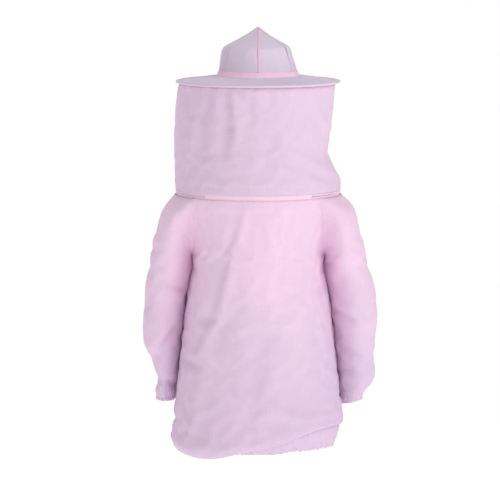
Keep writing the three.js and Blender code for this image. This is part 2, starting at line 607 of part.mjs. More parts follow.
function crown() {
  const rows = CROWN_OUTLINE.length - 1;
  const span = 360 / CROWN_GORES;
  const chord = (u) => Math.cos((span / 2) * RAD) / Math.cos((u - 0.5) * span * RAD);
  const flatAt = (u) => mix(1, chord(u), GORE_FLATNESS);
  for (let i = 0; i < CROWN_GORES; i++) {
    const from = NAPE + i * span;
    const middle = (from + span / 2) * RAD;
    const gore = sheet(5, rows, (u, t, side) => {
      const [height, share] = CROWN_OUTLINE[Math.round(t * rows)];
      const angle = mix(from, from + span, u) * RAD;
      const wall = side ? 0 : Math.min(CLOTH, share * 40);
      const sink = side ? 0 : share < CROWN_RIDGE_SHARE ? CLOTH : 0;
      const x = (CROWN_HALF_WIDTH * share * flatAt(u) - wall) * Math.cos(angle);
      const y = (CROWN_HALF_LENGTH * share * flatAt(u) - wall) * Math.sin(angle);
      const trim = (0.5 - u) * SEAM; // towards the gore's middle, so that each seam keeps its gap
      return [x - trim * Math.sin(middle), y + trim * Math.cos(middle), CROWN_FOOT + height - sink];
    });
    add("crown_gore_" + (i + 1), gore, PINK);
  }
  const bandPoint = (angle, t, side) => {
    const height = t * SWEATBAND_HEIGHT - BRIM_STACK;
    const share = along(CROWN_OUTLINE, height) * flatAt(0.5);
    const lean = mix(-0.2, 1.3, t); // follows the faceted wall as it draws in
    const inset = CLOTH + lean + (side ? 0 : SWEATBAND_CLOTH);
    const x = (CROWN_HALF_WIDTH * share - inset) * Math.cos(angle * RAD);
    const y = (CROWN_HALF_LENGTH * share - inset) * Math.sin(angle * RAD);
    return [x, y, CROWN_FOOT + height];
  };
  add("sweatband", band(AROUND, 1, bandPoint), WHITE);
}

// ---- Pockets, hanger loop and label ----

// A point on the front of the body, a distance round from the zip and standing off the cloth.
function onFront(sideways, drop, off) {
  const radius = along(HALF_DEPTH, drop);
  const angle = FRONT + sideways / radius / RAD;
  const [x, y, z] = torsoPoint(angle, drop);
  return [x + off * Math.cos(angle * RAD), y + off * Math.sin(angle * RAD), z];
}

function pockets() {
  const seat = 0.6; // clear of the panel's facets
  const stand = (t) => POCKET_FULLNESS * mix(0.25, 1, t ** 0.8);
  const slab = (width, top, bottom, near, far) =>
    sheet(8, 4, (u, t, side) => {
      const drop = mix(bottom, top, t);
      const share = THREE.MathUtils.clamp((POCKET_FOOT_DROP - drop) / POCKET_HEIGHT, 0, 1);
      return onFront(POCKET_CENTRE + (u - 0.5) * width, drop, side ? far(share) : near);
    });
  const past = 9; // the hollow runs out past the mouth and through the back
  const [mouth, foot] = [POCKET_MOUTH_DROP, POCKET_FOOT_DROP];
  const whole = slab(POCKET_WIDTH, mouth, foot, seat, (t) => stand(t) + CLOTH);
  const hollow = slab(POCKET_WIDTH - 2 * CLOTH, mouth - past, foot - CLOTH, -past, stand);
  const pocket = largest(whole.subtract(hollow));
  add("pocket_left", pocket, PINK);
  add("pocket_right", mirrored(pocket), PINK);
}

// A tape loop that stands off the nape, for hanging the jacket up.
function hangerLoop() {
  const half = LOOP_WIDTH / 2;
  const low = -LOOP_DROP;
  const path = new THREE.Shape();
  path.moveTo(-half, 0);
  path.lineTo(-half + 8, 0);
  path.quadraticCurveTo(-half + 10, low + LOOP_CLOTH, 0, low + LOOP_CLOTH);
  path.quadraticCurveTo(half - 10, low + LOOP_CLOTH, half - 8, 0);
  path.lineTo(half, 0);
  path.quadraticCurveTo(half - 6, low, 0, low);
  path.quadraticCurveTo(-half + 6, low, -half, 0);
  const options = { depth: LOOP_TAPE, bevelEnabled: false, curveSegments: 5 };
  const tape = new THREE.ExtrudeGeometry(path, options);
  const inner = NECK_RADIUS - CLOTH - 0.9;
  tape.rotateX(Math.PI / 2).translate(0, Math.sqrt(inner ** 2 - half ** 2), LOOP_TOP);
  add("hanger_loop", solid(tape), DEEP_PINK);
}

function sizeLabel() {
  const spread = LABEL_WIDTH / NECK_RADIUS / RAD;
  const top = LOOP_DROP - LOOP_TOP + 4;
  const label = sheet(3, 1, (u, t, side) => {
    const inset = CLOTH + 1 + (side ? 0 : LABEL_CLOTH);
    return torsoPoint(NAPE + (u - 0.5) * spread, mix(top + LABEL_HEIGHT, top, t), inset);
  });
  add("size_label", label, WHITE);
}

bodyPanels();
hem();
sleeves();
neckZips();
frontZip();
sliders();
veil();
brim();
crown();
pockets();
hangerLoop();
sizeLabel();

export default jacket;
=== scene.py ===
"""Beekeeping jacket with a zip-on hat and veil: its cloth, zips and trimmings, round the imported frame."""
import math

import bmesh
import bpy
import numpy as np
from bpy.props import FloatProperty, FloatVectorProperty, IntProperty, PointerProperty
from mathutils import Matrix, Vector
from mathutils.kdtree import KDTree


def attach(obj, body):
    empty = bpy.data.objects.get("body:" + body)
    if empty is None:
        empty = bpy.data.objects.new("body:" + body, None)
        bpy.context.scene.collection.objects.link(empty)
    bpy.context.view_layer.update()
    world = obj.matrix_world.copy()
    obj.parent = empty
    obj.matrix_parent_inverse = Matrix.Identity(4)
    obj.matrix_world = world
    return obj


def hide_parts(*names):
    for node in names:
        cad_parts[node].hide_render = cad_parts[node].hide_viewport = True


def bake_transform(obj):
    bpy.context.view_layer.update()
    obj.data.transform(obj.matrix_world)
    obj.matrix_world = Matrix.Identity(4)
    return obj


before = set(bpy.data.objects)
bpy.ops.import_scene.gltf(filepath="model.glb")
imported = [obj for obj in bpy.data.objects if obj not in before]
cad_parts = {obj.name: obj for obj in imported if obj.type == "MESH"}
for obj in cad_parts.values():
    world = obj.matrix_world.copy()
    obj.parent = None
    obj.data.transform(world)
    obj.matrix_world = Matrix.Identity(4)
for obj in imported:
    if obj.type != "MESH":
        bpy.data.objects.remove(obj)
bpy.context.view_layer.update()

bl_info = {
    "name": "Beekeeping jacket",
    "version": (1, 0, 0),
    "blender": (4, 5, 0),
    "location": "3D View > Sidebar > Jacket",
    "description": "Builds the cloth, hat, veil, zips and trimmings of a beekeeping jacket",
    "category": "Add Mesh",
}

# Shapes are worked out in millimetres, in the frame's axes, and become metres where a mesh is made.
MM = 0.001
SIDES = (("left", 1), ("right", -1))

# ---- The frame's own measures ----
NECK_RADIUS = 203.0
HEM_DROP = 635.0
CUFF_DROP = 502.0
BRIM_HEIGHT = 269.0
BRIM_RISE = 14.0
BRIM_STACK = 5.0
BRIM_RADIUS = 198.0
BRIM_LAYERS = (("brim_top_layer", 4.9, "brim_top_cloth"), ("brim_under_layer", 0.1, "brim_under_cloth"))
HEAD = (96.0, 106.0)
CROWN_FOOT = 288.4
CROWN = (101.0, 111.0)
ZIP_EDGE = 5.5  # from a zip's middle to the cloth's folded edge, just clear of its slider
FRONT_TILT = math.atan2(27.0, 601.0)
HALF_WIDTH = [(0, 203), (86, 175.1), (172, 158), (270.7, 176.7), (515.2, 203.2), (601, 210), (635, 186)]
HALF_DEPTH = [(0, 203), (601, 176), (635, 152)]
SLEEVE_DEPTH = [(0, 135.7), (70, 126.2), (172, 87.1), (231, 71), (320, 67), (459, 54.9), (502, 36), (522, 36)]
SLEEVE_BACK = [(0, 0), (172, -2), (320, -9), (403, -18), (522, -36)]
SLEEVE_SPAN = [(172, 90.2), (231, 96), (320, 96), (403, 80.6), (459, 71), (502, 54), (522, 54)]
# How far each sleeve's outer side hangs off the frame's, by drop. The wearer's right sleeve is the fuller
# one.
SLEEVE_FULLNESS = {
    "left": [(0, 0), (20, 6), (42, 13), (110, 10), (140, 2), (166, 9), (216, 8), (265, 2), (315, -1),
             (354, 3), (378, 4), (392, -2), (420, -13), (449, -20), (465, -24), (476, -15), (490, -6),
             (502, -9)],
    "right": [(0, 0), (20, 10), (42, 16), (106, 10), (140, 7), (166, 12), (200, 15), (227, 17), (265, 15),
              (364, 10), (413, 11), (443, 15), (463, 18), (486, 12), (500, 2), (512, -6)],
}
# The sleeve's outer side above the armpit.
SHOULDER = [(0, 205.2), (35, 219), (70, 232), (120, 247), (172, 254)]
RAGLAN_INNER = 153.0  # where the sleeve's own tube would close inside the shoulder
# The sleeve's cloth rolls over its cuff: drop and inset of the roll, and how far all of it and its inner
# side hang.
CUFF_ROLL = [(511, 0.6), (517, 3), (519, 8), (515, 12), (507, 13)]
CUFF_HANG = {"left": (0.0, 2.0), "right": (8.0, 6.0)}
SLEEVE_COLUMNS = 37


# ---- Sizes and colours ----
def linear(code):
    """An sRGB hex colour as linear red, green and blue."""
    parts = [int(code[i : i + 2], 16) / 255 for i in (1, 3, 5)]
    return tuple(c / 12.92 if c <= 0.04045 else ((c + 0.055) / 1.055) ** 2.4 for c in parts)


def colour(name, description, code):
    return FloatVectorProperty(
        name=name, description=description, default=linear(code), size=3, min=0, max=1, subtype="COLOR"
    )


def length(name, description, default):
    return FloatProperty(
        name=name, description=description, default=default, min=0, max=1, unit="LENGTH", subtype="DISTANCE"
    )


class JacketSizes(bpy.types.PropertyGroup):
    """Sizes that a maker may change."""

    cloth: length("Cloth", "Thickness of the cotton with its nap", 0.0007)
    mesh: length("Cloth mesh", "Spacing of the cloth's mesh before it is smoothed", 0.0105)
    fold: length("Fold depth", "Depth of the larger folds", 0.0046)
    gather: length("Gather depth", "Depth of the puckers along an elastic edge", 0.003)
    gather_pitch: length("Gather spacing", "Distance between two puckers", 0.0115)
    sag_limit: length("Sag limit", "The furthest that the cloth may settle off its pattern", 0.014)
    tooth_pitch: length("Tooth spacing", "Distance between two teeth of a zip", 0.0025)
    ease: FloatProperty(
        name="Ease", description="Spare cloth over the size of its shape", default=0.024, min=0, max=0.2
    )
    settle_frames: IntProperty(
        name="Settling frames", description="Steps that the cloth hangs for", default=42, min=1, max=200
    )


class JacketColours(bpy.types.PropertyGroup):
    """Colours that a maker may change."""

    cotton: colour("Cotton", "Single plain-weave cotton", "#F3D3EA")
    # Mixed into the cotton in random patches of greyer tone, and as painted shade that darkens the body
    # towards the hem.
    shade: colour("Cotton shade", "The cotton's cooler, greyer cast between folds", "#D8C3DC")
    # Painted shade: a darker, greyer copy of the body's cotton, standing in for the shade that falls on the
    # veil.
    veil: colour("Veil cotton", "The veil's cotton, from a slightly greyer dyeing", "#E6CCE3")
    # Painted shade: a still darker, greyer copy of the body's cotton, standing in for the shade that falls on
    # the hat.
    hat: colour("Hat cotton", "The hat's cotton, the greyest of the dyeings", "#E3D6E7")
    band: colour("Doubled cotton", "Cotton sewn double, which looks a little deeper", "#FFD9EA")
    thread: colour("Thread", "Sewing thread", "#F6C3DA")
    net: colour("Net", "Tulle in front of the face", "#141416")
    tape: colour("Zip tape", "Woven tape of the zips", "#FFDFEE")
    teeth: colour("Zip teeth", "Moulded teeth of the zips", "#FFE6F3")
    steel: colour("Zip metal", "Nickel plate on the sliders and pulls", "#C9CACD")
    elastic: colour("Elastic", "Knitted elastic webbing", "#F1EFF0")
    ribbon: colour("Ribbon", "Satin ribbon of the size label", "#F6F4F4")
    board: colour("Brim board", "Stiff sheet inside the brim", "#E4E0DC")
    floor: colour("Floor", "The plain floor", "#FFFFFF")


# ---- Numbers over a range ----
def along(table, at, spread=0.0):
    """A table's value at each place, averaged over the spread either side so that it turns without a
    corner."""
    x, y = zip(*table)
    if not spread:
        return np.interp(at, x, y)
    steps = np.linspace(-spread, spread, 9)
    return np.mean([np.interp(np.asarray(at) + s, x, y) for s in steps], axis=0)


def ramp(at, low, high):
    """0 below low, 1 above high, and a smooth turn between."""
    t = np.clip((np.asarray(at, float) - low) / (high - low), 0, 1)
    return t * t * (3 - 2 * t)


def mix(a, b, t):
    return a + (b - a) * t


def oval(wide, deep, angle, z):
    """Points at plan angles round an oval, at a height."""
    return np.stack([wide * np.cos(angle), deep * np.sin(angle), z + 0 * angle], axis=-1)


def closed(points):
    """A tube's grid of points with its last column laid on its first."""
    points[:, -1] = points[:, 0]
    return points


def even(line, count):
    """Points at even distances along a line of points."""
    line = np.asarray(line, float)
    steps = np.r_[0, np.cumsum(np.linalg.norm(np.diff(line, axis=0), axis=1))]
    at = np.linspace(0, steps[-1], count)
    return np.stack([np.interp(at, steps, line[:, i]) for i in range(line.shape[1])], axis=1)


def ripple(at, pitch, seed):
    """An uneven wave from -1 to 1 whose peaks are about one pitch apart."""
    turns = np.asarray(at) / pitch * 2 * math.pi
    drift = 1.6 * np.sin(turns * 0.131 + seed) + 1.1 * np.sin(turns * 0.293 + 2.1 * seed)
    height = 0.62 + 0.38 * np.sin(turns * 0.217 + 1.3 * seed)
    return height * np.sin(turns + drift)


# ---- The jacket's shape ----
def torso_axes(drop):
    """Half width and half depth of the body at a drop. At the top it is the neck ring, standing over the
    zip tapes."""
    ring = 1 - ramp(drop, 17, 40)
    return (
        mix(along(HALF_WIDTH, drop, 26), NECK_RADIUS + 0.6, ring),
        mix(along(HALF_DEPTH, drop, 8), NECK_RADIUS + 0.6, ring),
    )


def torso_point(angle, drop):
    wide, deep = torso_axes(drop)
    return oval(wide, deep, angle, -np.asarray(drop))


def underarm(drop):
    return along(HALF_WIDTH, drop, 20) + 5


def sleeve_sides(drop, side):
    """The sleeve's inner and outer distance from the middle of the jacket."""
    inner = mix(RAGLAN_INNER, underarm(drop), ramp(drop, 118, 186))
    low = underarm(drop) + along(SLEEVE_SPAN, drop, 18)
    outer = mix(along(SHOULDER, drop, 10), low, ramp(drop, 100, 180))
    outer = outer + along(SLEEVE_FULLNESS[side], drop, 8)
    return inner, mix(NECK_RADIUS + 0.9, outer, ramp(drop, 2, 24))


def sleeve_point(turn, drop, side):
    """A point of the left sleeve's section at one drop. Turn 0 is the outer side, and a quarter turn its
    back."""
    inner, outer = sleeve_sides(drop, side)
    deep = along(SLEEVE_DEPTH, drop, 14)
    across, y = np.cos(turn), deep * np.sin(turn)
    middle, low = (outer + inner) / 2, ramp(drop, 160, 182)
    # Below the armpit the sleeve's inner side lies along the body's flank, and slopes away from it at the
    # back.
    back = along(SLEEVE_BACK, drop, 20)
    away = np.clip((y + back) / along(HALF_DEPTH, drop, 8), -0.9, 0.9)
    flank = mix(inner, along(HALF_WIDTH, drop, 20) * np.sqrt(1 - away**2) + 2, low)
    power = np.where(y > 0, 1.5, 3.0)
    slope = mix(np.abs(across), np.maximum(1 - np.abs(np.sin(turn)) ** power, 0) ** (1 / power), low)
    oval = np.where(across > 0, middle + (outer - middle) * across, middle - (middle - flank) * slope)
    ring = np.where(across > 0, np.maximum(inner, np.sqrt(np.maximum(outer**2 - y**2, 0))), inner)
    x = mix(ring, oval, ramp(drop, 0, 110))
    return np.stack([x, y + back, -drop + 0 * turn], axis=-1)


def seam_at(drop, back, side):
    """Where the raglan seam crosses the body's oval at a drop: its angle on the body and its turn on the
    sleeve."""
    sign = 1 if back else -1
    low, high = 0.0, math.pi / 2
    middle = float(along(SLEEVE_BACK, drop, 20))
    deep = float(along(SLEEVE_DEPTH, drop, 14))
    for _ in range(40):
        angle = (low + high) / 2
        x, y, _ = torso_point(np.array(sign * angle), drop)
        turn = math.pi - math.asin(max(-1.0, min(1.0, sign * (y - middle) / deep)))
        inside = x > sleeve_point(np.array(turn), drop, side)[0]
        low, high = (angle, high) if inside else (low, angle)
    return sign * low, sign * turn


def armpit_drop(side):
    low, high = 140.0, 180.0
    for _ in range(40):
        drop = (low + high) / 2
        inside = torso_axes(drop)[0] > sleeve_sides(drop, side)[0]
        low, high = (drop, high) if inside else (low, drop)
    return low


# Where the body's cloth rolls over the elastic: drop of the roll's lowest line past the casing's top, by plan
# angle in degrees. It hangs low at the wearer's left and rides up at the right back, so the gathers show
# there.
ROLL = [(-180, -33), (-150, -14), (-120, 2), (-90, 10), (-30, 14), (0, 20), (12, 27), (28, 35), (48, 41),
        (62, 37), (74, 26), (90, 10), (108, -1), (121, -20), (136, -38), (170, -36), (180, -33)]
HEM_AXES = (210.0, 176.0)  # half width and half depth of the body over the hem


def body_lines(angles, count):
    """Rows of points down the body below the armpit to the roll over the hem, for each plan angle, at even
    steps."""
    columns = []
    wide, deep = HEM_AXES
    for a in angles:
        drop = float(along(ROLL, math.degrees(a), 5))
        up = min(drop, 0)
        full = max(drop, 0) * ramp(math.cos(a), -0.3, 0.6)
        tube = [torso_point(np.array(a), d) for d in np.linspace(ARMPIT, 560 + 0.7 * up, 30)]
        roll = [
            (1.0 + 0.05 * full, 590 + 0.6 * up),
            (1.5 + 0.16 * full, 604 + 0.5 * drop + 0.35 * up),
            (-4 + 0.12 * full, 611 + drop),
            (-10, 613 + 0.95 * drop),
            (-13, 606 + 0.75 * drop),
            (-13, 597 + 0.6 * drop),
        ]
        for out, depth in roll:
            tube.append(np.array([(wide + out) * math.cos(a), (deep + out) * math.sin(a), -depth]))
        columns.append(even(smooth_line(tube, 2), count))
    return np.stack(columns, axis=1)


def smooth_line(points, rounds):
    """A line of points with its corners cut, and its ends kept."""
    line = np.asarray(points, float)
    for _ in range(rounds):
        cut = np.stack([mix(line[:-1], line[1:], 0.25), mix(line[:-1], line[1:], 0.75)], axis=1)
        line = np.concatenate([line[:1], cut.reshape(-1, 3), line[-1:]])
    return line


ARMPIT = armpit_drop("left")


def over_cuff(foot, side):
    """Rows of points that carry a sleeve on from its lowest row, round its cuff's elastic and up inside."""
    spoke = foot[:, :2] - foot[:-1, :2].mean(axis=0)
    reach = np.linalg.norm(spoke, axis=1, keepdims=True)
    inward = -spoke[:, 0] / np.abs(spoke[:, 0]).max()
    hang, inner_hang = CUFF_HANG[side]
    rows = []
    for drop, inset in CUFF_ROLL:
        row = foot.copy()
        row[:, :2] -= spoke * inset / reach
        row[:, 2] = -(drop + (hang + inner_hang * inward) * (drop - 505) / 12)
        rows.append(row)
    return rows


def below_armpit(row, sign, count):
    """The body's rows under a row that ends at the armpit, in columns that keep their plan angles."""
    wide, deep = torso_axes(ARMPIT)
    angles = [math.atan2(p[1] / deep, p[0] / wide) for p in row]
    if sign < 0:
        angles = [math.pi - a if a >= 0 else -math.pi - a for a in angles]
    return body_lines(angles, count)[1:]


def pattern(mesh_step):
    """The points of each piece of the body and sleeves, in rows from the top, and how many rows reach the
    armpit."""
    upper = 1 - (1 - np.linspace(0, 1, 17)) ** 1.15
    drops = ZIP_EDGE + (ARMPIT - ZIP_EDGE) * upper
    lower_drops = np.linspace(ARMPIT, CUFF_DROP + 3, int((CUFF_DROP - ARMPIT) / mesh_step) + 2)[1:]
    down = int((HEM_DROP - ARMPIT) / mesh_step) + 1
    half = int(300 / mesh_step) + 1
    pieces = {}
    for side, sign in SIDES:
        sleeve, back, front = [], [], []
        for drop in drops:
            back_angle, back_turn = seam_at(drop, True, side)
            front_angle, front_turn = seam_at(drop, False, side)
            if drop == drops[-1]:
                back_angle, front_angle, back_turn, front_turn = 0.0, 0.0, math.pi, -math.pi
            arc = sleeve_point(np.linspace(back_turn, front_turn, 160), drop, side)
            arc[0] = torso_point(np.array(back_angle), drop)
            arc[-1] = torso_point(np.array(front_angle), drop)
            zip_angle = -math.acos(ZIP_EDGE / torso_axes(drop)[0])
            sleeve.append(even(arc, SLEEVE_COLUMNS))
            back.append(even(torso_point(np.linspace(math.pi / 2, back_angle, 80), drop), half))
            front.append(even(torso_point(np.linspace(zip_angle, front_angle, 80), drop), half))
        for drop in lower_drops:
            arc = sleeve_point(np.linspace(math.pi, -math.pi, 160), drop, side)
            sleeve.append(even(arc, SLEEVE_COLUMNS))
        sleeve += over_cuff(sleeve[-1], side)
        turn = np.array([sign, 1, 1])
        pieces["sleeve_" + side] = np.stack(sleeve) * turn
        for name, rows in (("back_", back), ("front_", front)):
            pieces[name + side] = np.concatenate([np.stack(rows) * turn, below_armpit(rows[-1], sign, down)])
        # The zip's edge keeps its distance from the middle all the way down.
        pieces["front_" + side][:, 0, 0] = sign * ZIP_EDGE
    right = pieces.pop("back_right")[:, ::-1]
    left = pieces.pop("back_left")
    pieces["back"] = np.concatenate([right, left[:, 1:]], axis=1)
    return pieces, len(drops)


# ---- Cloth meshes ----
def place_grid(bm, points):
    """Adds a grid of cloth to a bmesh with its vertices at points[row, column], and returns them in that
    order."""
    rows, columns = points.shape[:2]
    made = bmesh.ops.create_grid(bm, x_segments=columns - 1, y_segments=rows - 1, size=0.5)["verts"]
    order = [None] * (rows * columns)
    for v in made:
        order[round((0.5 - v.co.y) * (rows - 1)) * columns + round((v.co.x + 0.5) * (columns - 1))] = v
    for v, place in zip(order, points.reshape(-1, 3) * MM):
        v.co = place
    return order


def store(mesh, name, values):
    attribute = mesh.attributes.new(name, "FLOAT", "POINT")
    attribute.data.foreach_set("value", np.asarray(values, np.float32).ravel())


def linked(name, bm):
    """A new object in the scene from a bmesh, which is freed."""
    mesh = bpy.data.meshes.new(name)
    bm.to_mesh(mesh)
    bm.free()
    made = bpy.data.objects.new(name, mesh)
    bpy.context.collection.objects.link(made)
    return made


def tree_of(points):
    tree = KDTree(len(points))
    for i, p in enumerate(points):
        tree.insert(p, i)
    tree.balance()
    return tree


def steps(points, axis):
    """Lengths between a grid's neighbours down its columns, axis 0, or along its rows, axis 1."""
    return np.linalg.norm(np.diff(points, axis=axis), axis=2)


def cloth_object(name, points, edges="", gather=None, merge=False, outward=None):
    """A sheet of cloth. Edges names its sewn sides, of l, r, t and b, from which its stitch lines are
    measured.

    Its UV map is in metres of cloth. The attribute seam is the distance from the nearest sewn side and
    gather the
    strength of the puckers, both read by the cotton's finish.
    """
    rows, columns = points.shape[:2]
    bm = bmesh.new()
    order = place_grid(bm, points)
    across, down = np.zeros((rows, columns)), np.zeros((rows, columns))
    across[:, 1:] = np.cumsum(steps(points, 1), axis=1)
    down[1:] = np.cumsum(steps(points, 0), axis=0)
    layer = bm.loops.layers.uv.new("UVMap")
    mean_across = across[:, -1].mean() * np.linspace(-0.5, 0.5, columns)[None] + 0 * across
    mean_down = down[-1].mean() * np.linspace(0, 1, rows)[:, None] + 0 * down
    spot = {v: i for i, v in enumerate(order)}
    flat = np.stack([mean_across.ravel(), mean_down.ravel()], axis=1) * MM
    for face in bm.faces:
        face.smooth = True
        for loop in face.loops:
            loop[layer].uv = flat[spot[loop.vert]]
    middle = points.mean(axis=1) if outward is None else np.tile(np.array(outward, float), (rows, 1))
    bm.normal_update()
    if sum(v.normal.dot(v.co - Vector(middle[i // columns] * MM)) for i, v in enumerate(order)) < 0:
        bmesh.ops.reverse_faces(bm, faces=bm.faces)
    far = np.full((rows, columns), 1e3)
    distances = {"l": across, "r": across[:, -1:] - across, "t": down, "b": down[-1:] - down}
    for edge in edges:
        far = np.minimum(far, distances[edge])
    bm.verts.index_update()
    index = np.array([v.index for v in order])
    piece = linked(name, bm)
    mesh = piece.data
    for key, values in (("seam", far * MM), ("gather", np.zeros_like(far) if gather is None else gather)):
        stored = np.zeros(len(index))
        stored[index] = np.asarray(values).ravel()
        store(mesh, key, stored)
    if merge:
        join = bmesh.new()
        join.from_mesh(mesh)
        bmesh.ops.remove_doubles(join, verts=join.verts, dist=1e-5)
        join.to_mesh(mesh)
        join.free()
    return piece


def finish_cloth(piece, thickness, levels):
    """Rounds the mesh and gives the cloth its thickness, towards the inside."""
    if levels:
        soft = piece.modifiers.new("Smooth", "SUBSURF")
        soft.levels = soft.render_levels = levels
        soft.boundary_smooth = "PRESERVE_CORNERS"
    wall = piece.modifiers.new("Cloth", "SOLIDIFY")
    wall.thickness, wall.offset = thickness, -1


CLOTH = {
    "quality": 5,
    "mass": 0.12,
    "tension_stiffness": 18,
    "compression_stiffness": 18,
    "shear_stiffness": 6,
    "bending_stiffness": 2.6,
    "air_damping": 3,
    "vertex_group_mass": "held",
    "pin_stiffness": 1,
}
DRIFT_KEPT = 0.25  # share of the cloth's slow movement that stays
CORNER_ROUNDS, DRIFT_ROUNDS = 26, 60


def settle(sheets, holds, ease, frames, limit, softer=None):
    """Sews the sheets into one cloth, cuts it a little over its shape's size and lets it hang, held where
    holds is 1.

    It returns the sheets' points afterwards. The slow part of the movement is mostly taken out again, so
    that the
    folds stay and the outline doesn't drift, and no point moves further than the limit.
    """
    bm = bmesh.new()
    for points in sheets.values():
        place_grid(bm, points)
    bmesh.ops.remove_doubles(bm, verts=bm.verts, dist=2e-5)
    piece = linked("settling", bm)
    mesh = piece.data
    tree = tree_of([v.co for v in mesh.vertices])
    index = {}
    for name, points in sheets.items():
        index[name] = np.array([tree.find(p)[1] for p in points.reshape(-1, 3) * MM])
    start = np.empty(len(mesh.vertices) * 3)
    mesh.vertices.foreach_get("co", start)
    start = start.reshape(-1, 3)
    pairs = np.empty(len(mesh.edges) * 2, int)
    mesh.edges.foreach_get("vertices", pairs)
    pairs = pairs.reshape(-1, 2)
    count = np.bincount(pairs.ravel(), minlength=len(start))[:, None]

    def averaged(values):
        total = np.zeros_like(values)
        np.add.at(total, pairs[:, 0], values[pairs[:, 1]])
        np.add.at(total, pairs[:, 1], values[pairs[:, 0]])
        return total / count

    # Rounds off the corners where sheets meet.
    soft = np.zeros((len(start), 1))
    for name, values in (softer or {}).items():
        np.maximum.at(soft[:, 0], index[name], np.asarray(values).ravel())
    for _ in range(CORNER_ROUNDS):
        start = mix(start, averaged(start), 0.5 * soft)
    mesh.vertices.foreach_set("co", start.ravel())
    hold = np.zeros(len(start))
    for name, values in holds.items():
        np.maximum.at(hold, index[name], np.asarray(values).ravel())
    group = piece.vertex_groups.new(name="held")
    for level in np.unique(np.round(hold, 2)):
        group.add([int(i) for i in np.flatnonzero(np.round(hold, 2) == level)], float(level), "REPLACE")
    cloth = piece.modifiers.new("Cloth", "CLOTH")
    for key, value in CLOTH.items():
        setattr(cloth.settings, key, value)
    cloth.settings.shrink_min = -ease
    cloth.collision_settings.use_self_collision = False
    cloth.point_cache.frame_start, cloth.point_cache.frame_end = 1, frames
    scene = bpy.context.scene
    for step in range(1, frames + 1):
        scene.frame_set(step)
    hung = piece.evaluated_get(bpy.context.evaluated_depsgraph_get())
    end = np.empty(len(start) * 3)
    hung.data.vertices.foreach_get("co", end)
    moved = end.reshape(-1, 3) - start
    slow = moved.copy()
    for _ in range(DRIFT_ROUNDS):
        slow = mix(slow, averaged(slow), 0.6)
    moved = moved - (1 - DRIFT_KEPT) * slow
    far = np.linalg.norm(moved, axis=1, keepdims=True)
    moved = moved * (np.tanh(far / limit) * limit / np.maximum(far, 1e-9))
    new = (start + moved * (1 - np.clip(hold[:, None], 0, 1) ** 4)) / MM
    bpy.data.objects.remove(piece)
    bpy.data.meshes.remove(mesh)
    scene.frame_set(1)
    return {name: new[index[name]].reshape(points.shape) for name, points in sheets.items()}


def grid_normals(points):
    """Outward unit normals of a sheet's points."""
    down = np.gradient(points, axis=0)
    across = np.gradient(points, axis=1)
    normal = np.cross(across, down)
    normal /= np.maximum(np.linalg.norm(normal, axis=2, keepdims=True), 1e-9)
    outward = points - points.mean(axis=1, keepdims=True)
    return normal if (normal * outward).sum() > 0 else -normal


def fold_height(points, folds):
    """Height of the drawn folds at each point. A fold runs from (x, z) to (x, z), with its height and half
    width."""
    x, z = points[..., 0], points[..., 2]
    total = np.zeros(x.shape)
    for x0, z0, x1, z1, height, wide in folds:
        dx, dz = x1 - x0, z1 - z0
        t = np.clip(((x - x0) * dx + (z - z0) * dz) / (dx * dx + dz * dz), 0, 1)
        away = np.hypot(x - x0 - t * dx, z - z0 - t * dz)
        total += height * np.exp(-((away / wide) ** 2))
    return total


def raised(points, heights):
    return points + grid_normals(points) * np.asarray(heights)[..., None]


def carried(points, before, after):
    """Moves points with the cloth under them, which went from before to after."""
    before, moved = before.reshape(-1, 3), (after - before).reshape(-1, 3)
    tree = tree_of(before)
    out = np.array(points, float).reshape(-1, 3)
    for i, p in enumerate(out.copy()):
        near = tree.find_n(p, 6)
        weights = np.array([1 / (d + 2.0) ** 2 for _, _, d in near])
        out[i] = p + (moved[[j for _, j, _ in near]] * weights[:, None]).sum(0) / weights.sum()
    return out.reshape(np.shape(points))


# ---- Finishes ----
def node(tree, kind, values=(), links=(), **properties):
    """Adds one shader node with its properties, its input values and its links, and returns it."""
    made = tree.nodes.new("ShaderNode" + kind)
    for key, value in properties.items():
        setattr(made, key, value)
    for key, value in dict(values).items():
        made.inputs[key].default_value = value
    for key, output in dict(links).items():
        tree.links.new(output, made.inputs[key])
    return made


def new_material(name):
    material = bpy.data.materials.new(name)
    material.use_nodes = True
    tree = material.node_tree
    shader = tree.nodes["Principled BSDF"]
    return material, tree, shader


def rgba(value):
    return (*value, 1.0)


def bands(tree, vector, pitch, direction):
    """Stripes one pitch apart, in metres of the vector given."""
    wave = node(tree, "TexWave", {"Scale": math.pi / 10 / pitch}, {"Vector": vector}, wave_type="BANDS",
                bands_direction=direction)
    return wave.outputs["Fac"]


def noise(tree, vector, scale, detail, **values):
    made = node(tree, "TexNoise", {"Scale": scale, "Detail": detail, **values}, {"Vector": vector})
    return made.outputs["Fac"]


def long_noise(tree, uv, scale, detail):
    """Noise that is stretched along the cloth or across it."""
    return noise(tree, node(tree, "Mapping", {"Scale": scale}, {"Vector": uv}).outputs[0], 1.0, detail)


def ranged(tree, value, low, high, new_low, new_high):
    """The value's range low to high made new_low to new_high, and held at its ends."""
    ends = {"From Min": low, "From Max": high, "To Min": new_low, "To Max": new_high}
    return node(tree, "MapRange", ends, {"Value": value}).outputs[0]


def mixed(tree, values, links, **properties):
    return node(tree, "Mix", values, links, data_type="RGBA", **properties).outputs["Result"]


def finish_shader(tree, shader, values, links, height, depth, strength=1.0):
    """Sets a shader's plain values and its links, and gives it bumps as deep as depth, in metres."""
    bump = node(tree, "Bump", {"Strength": strength, "Distance": depth}, {"Height": height})
    for key, value in values.items():
        shader.inputs[key].default_value = value
    for key, output in {**links, "Normal": bump.outputs[0]}.items():
        tree.links.new(output, shader.inputs[key])


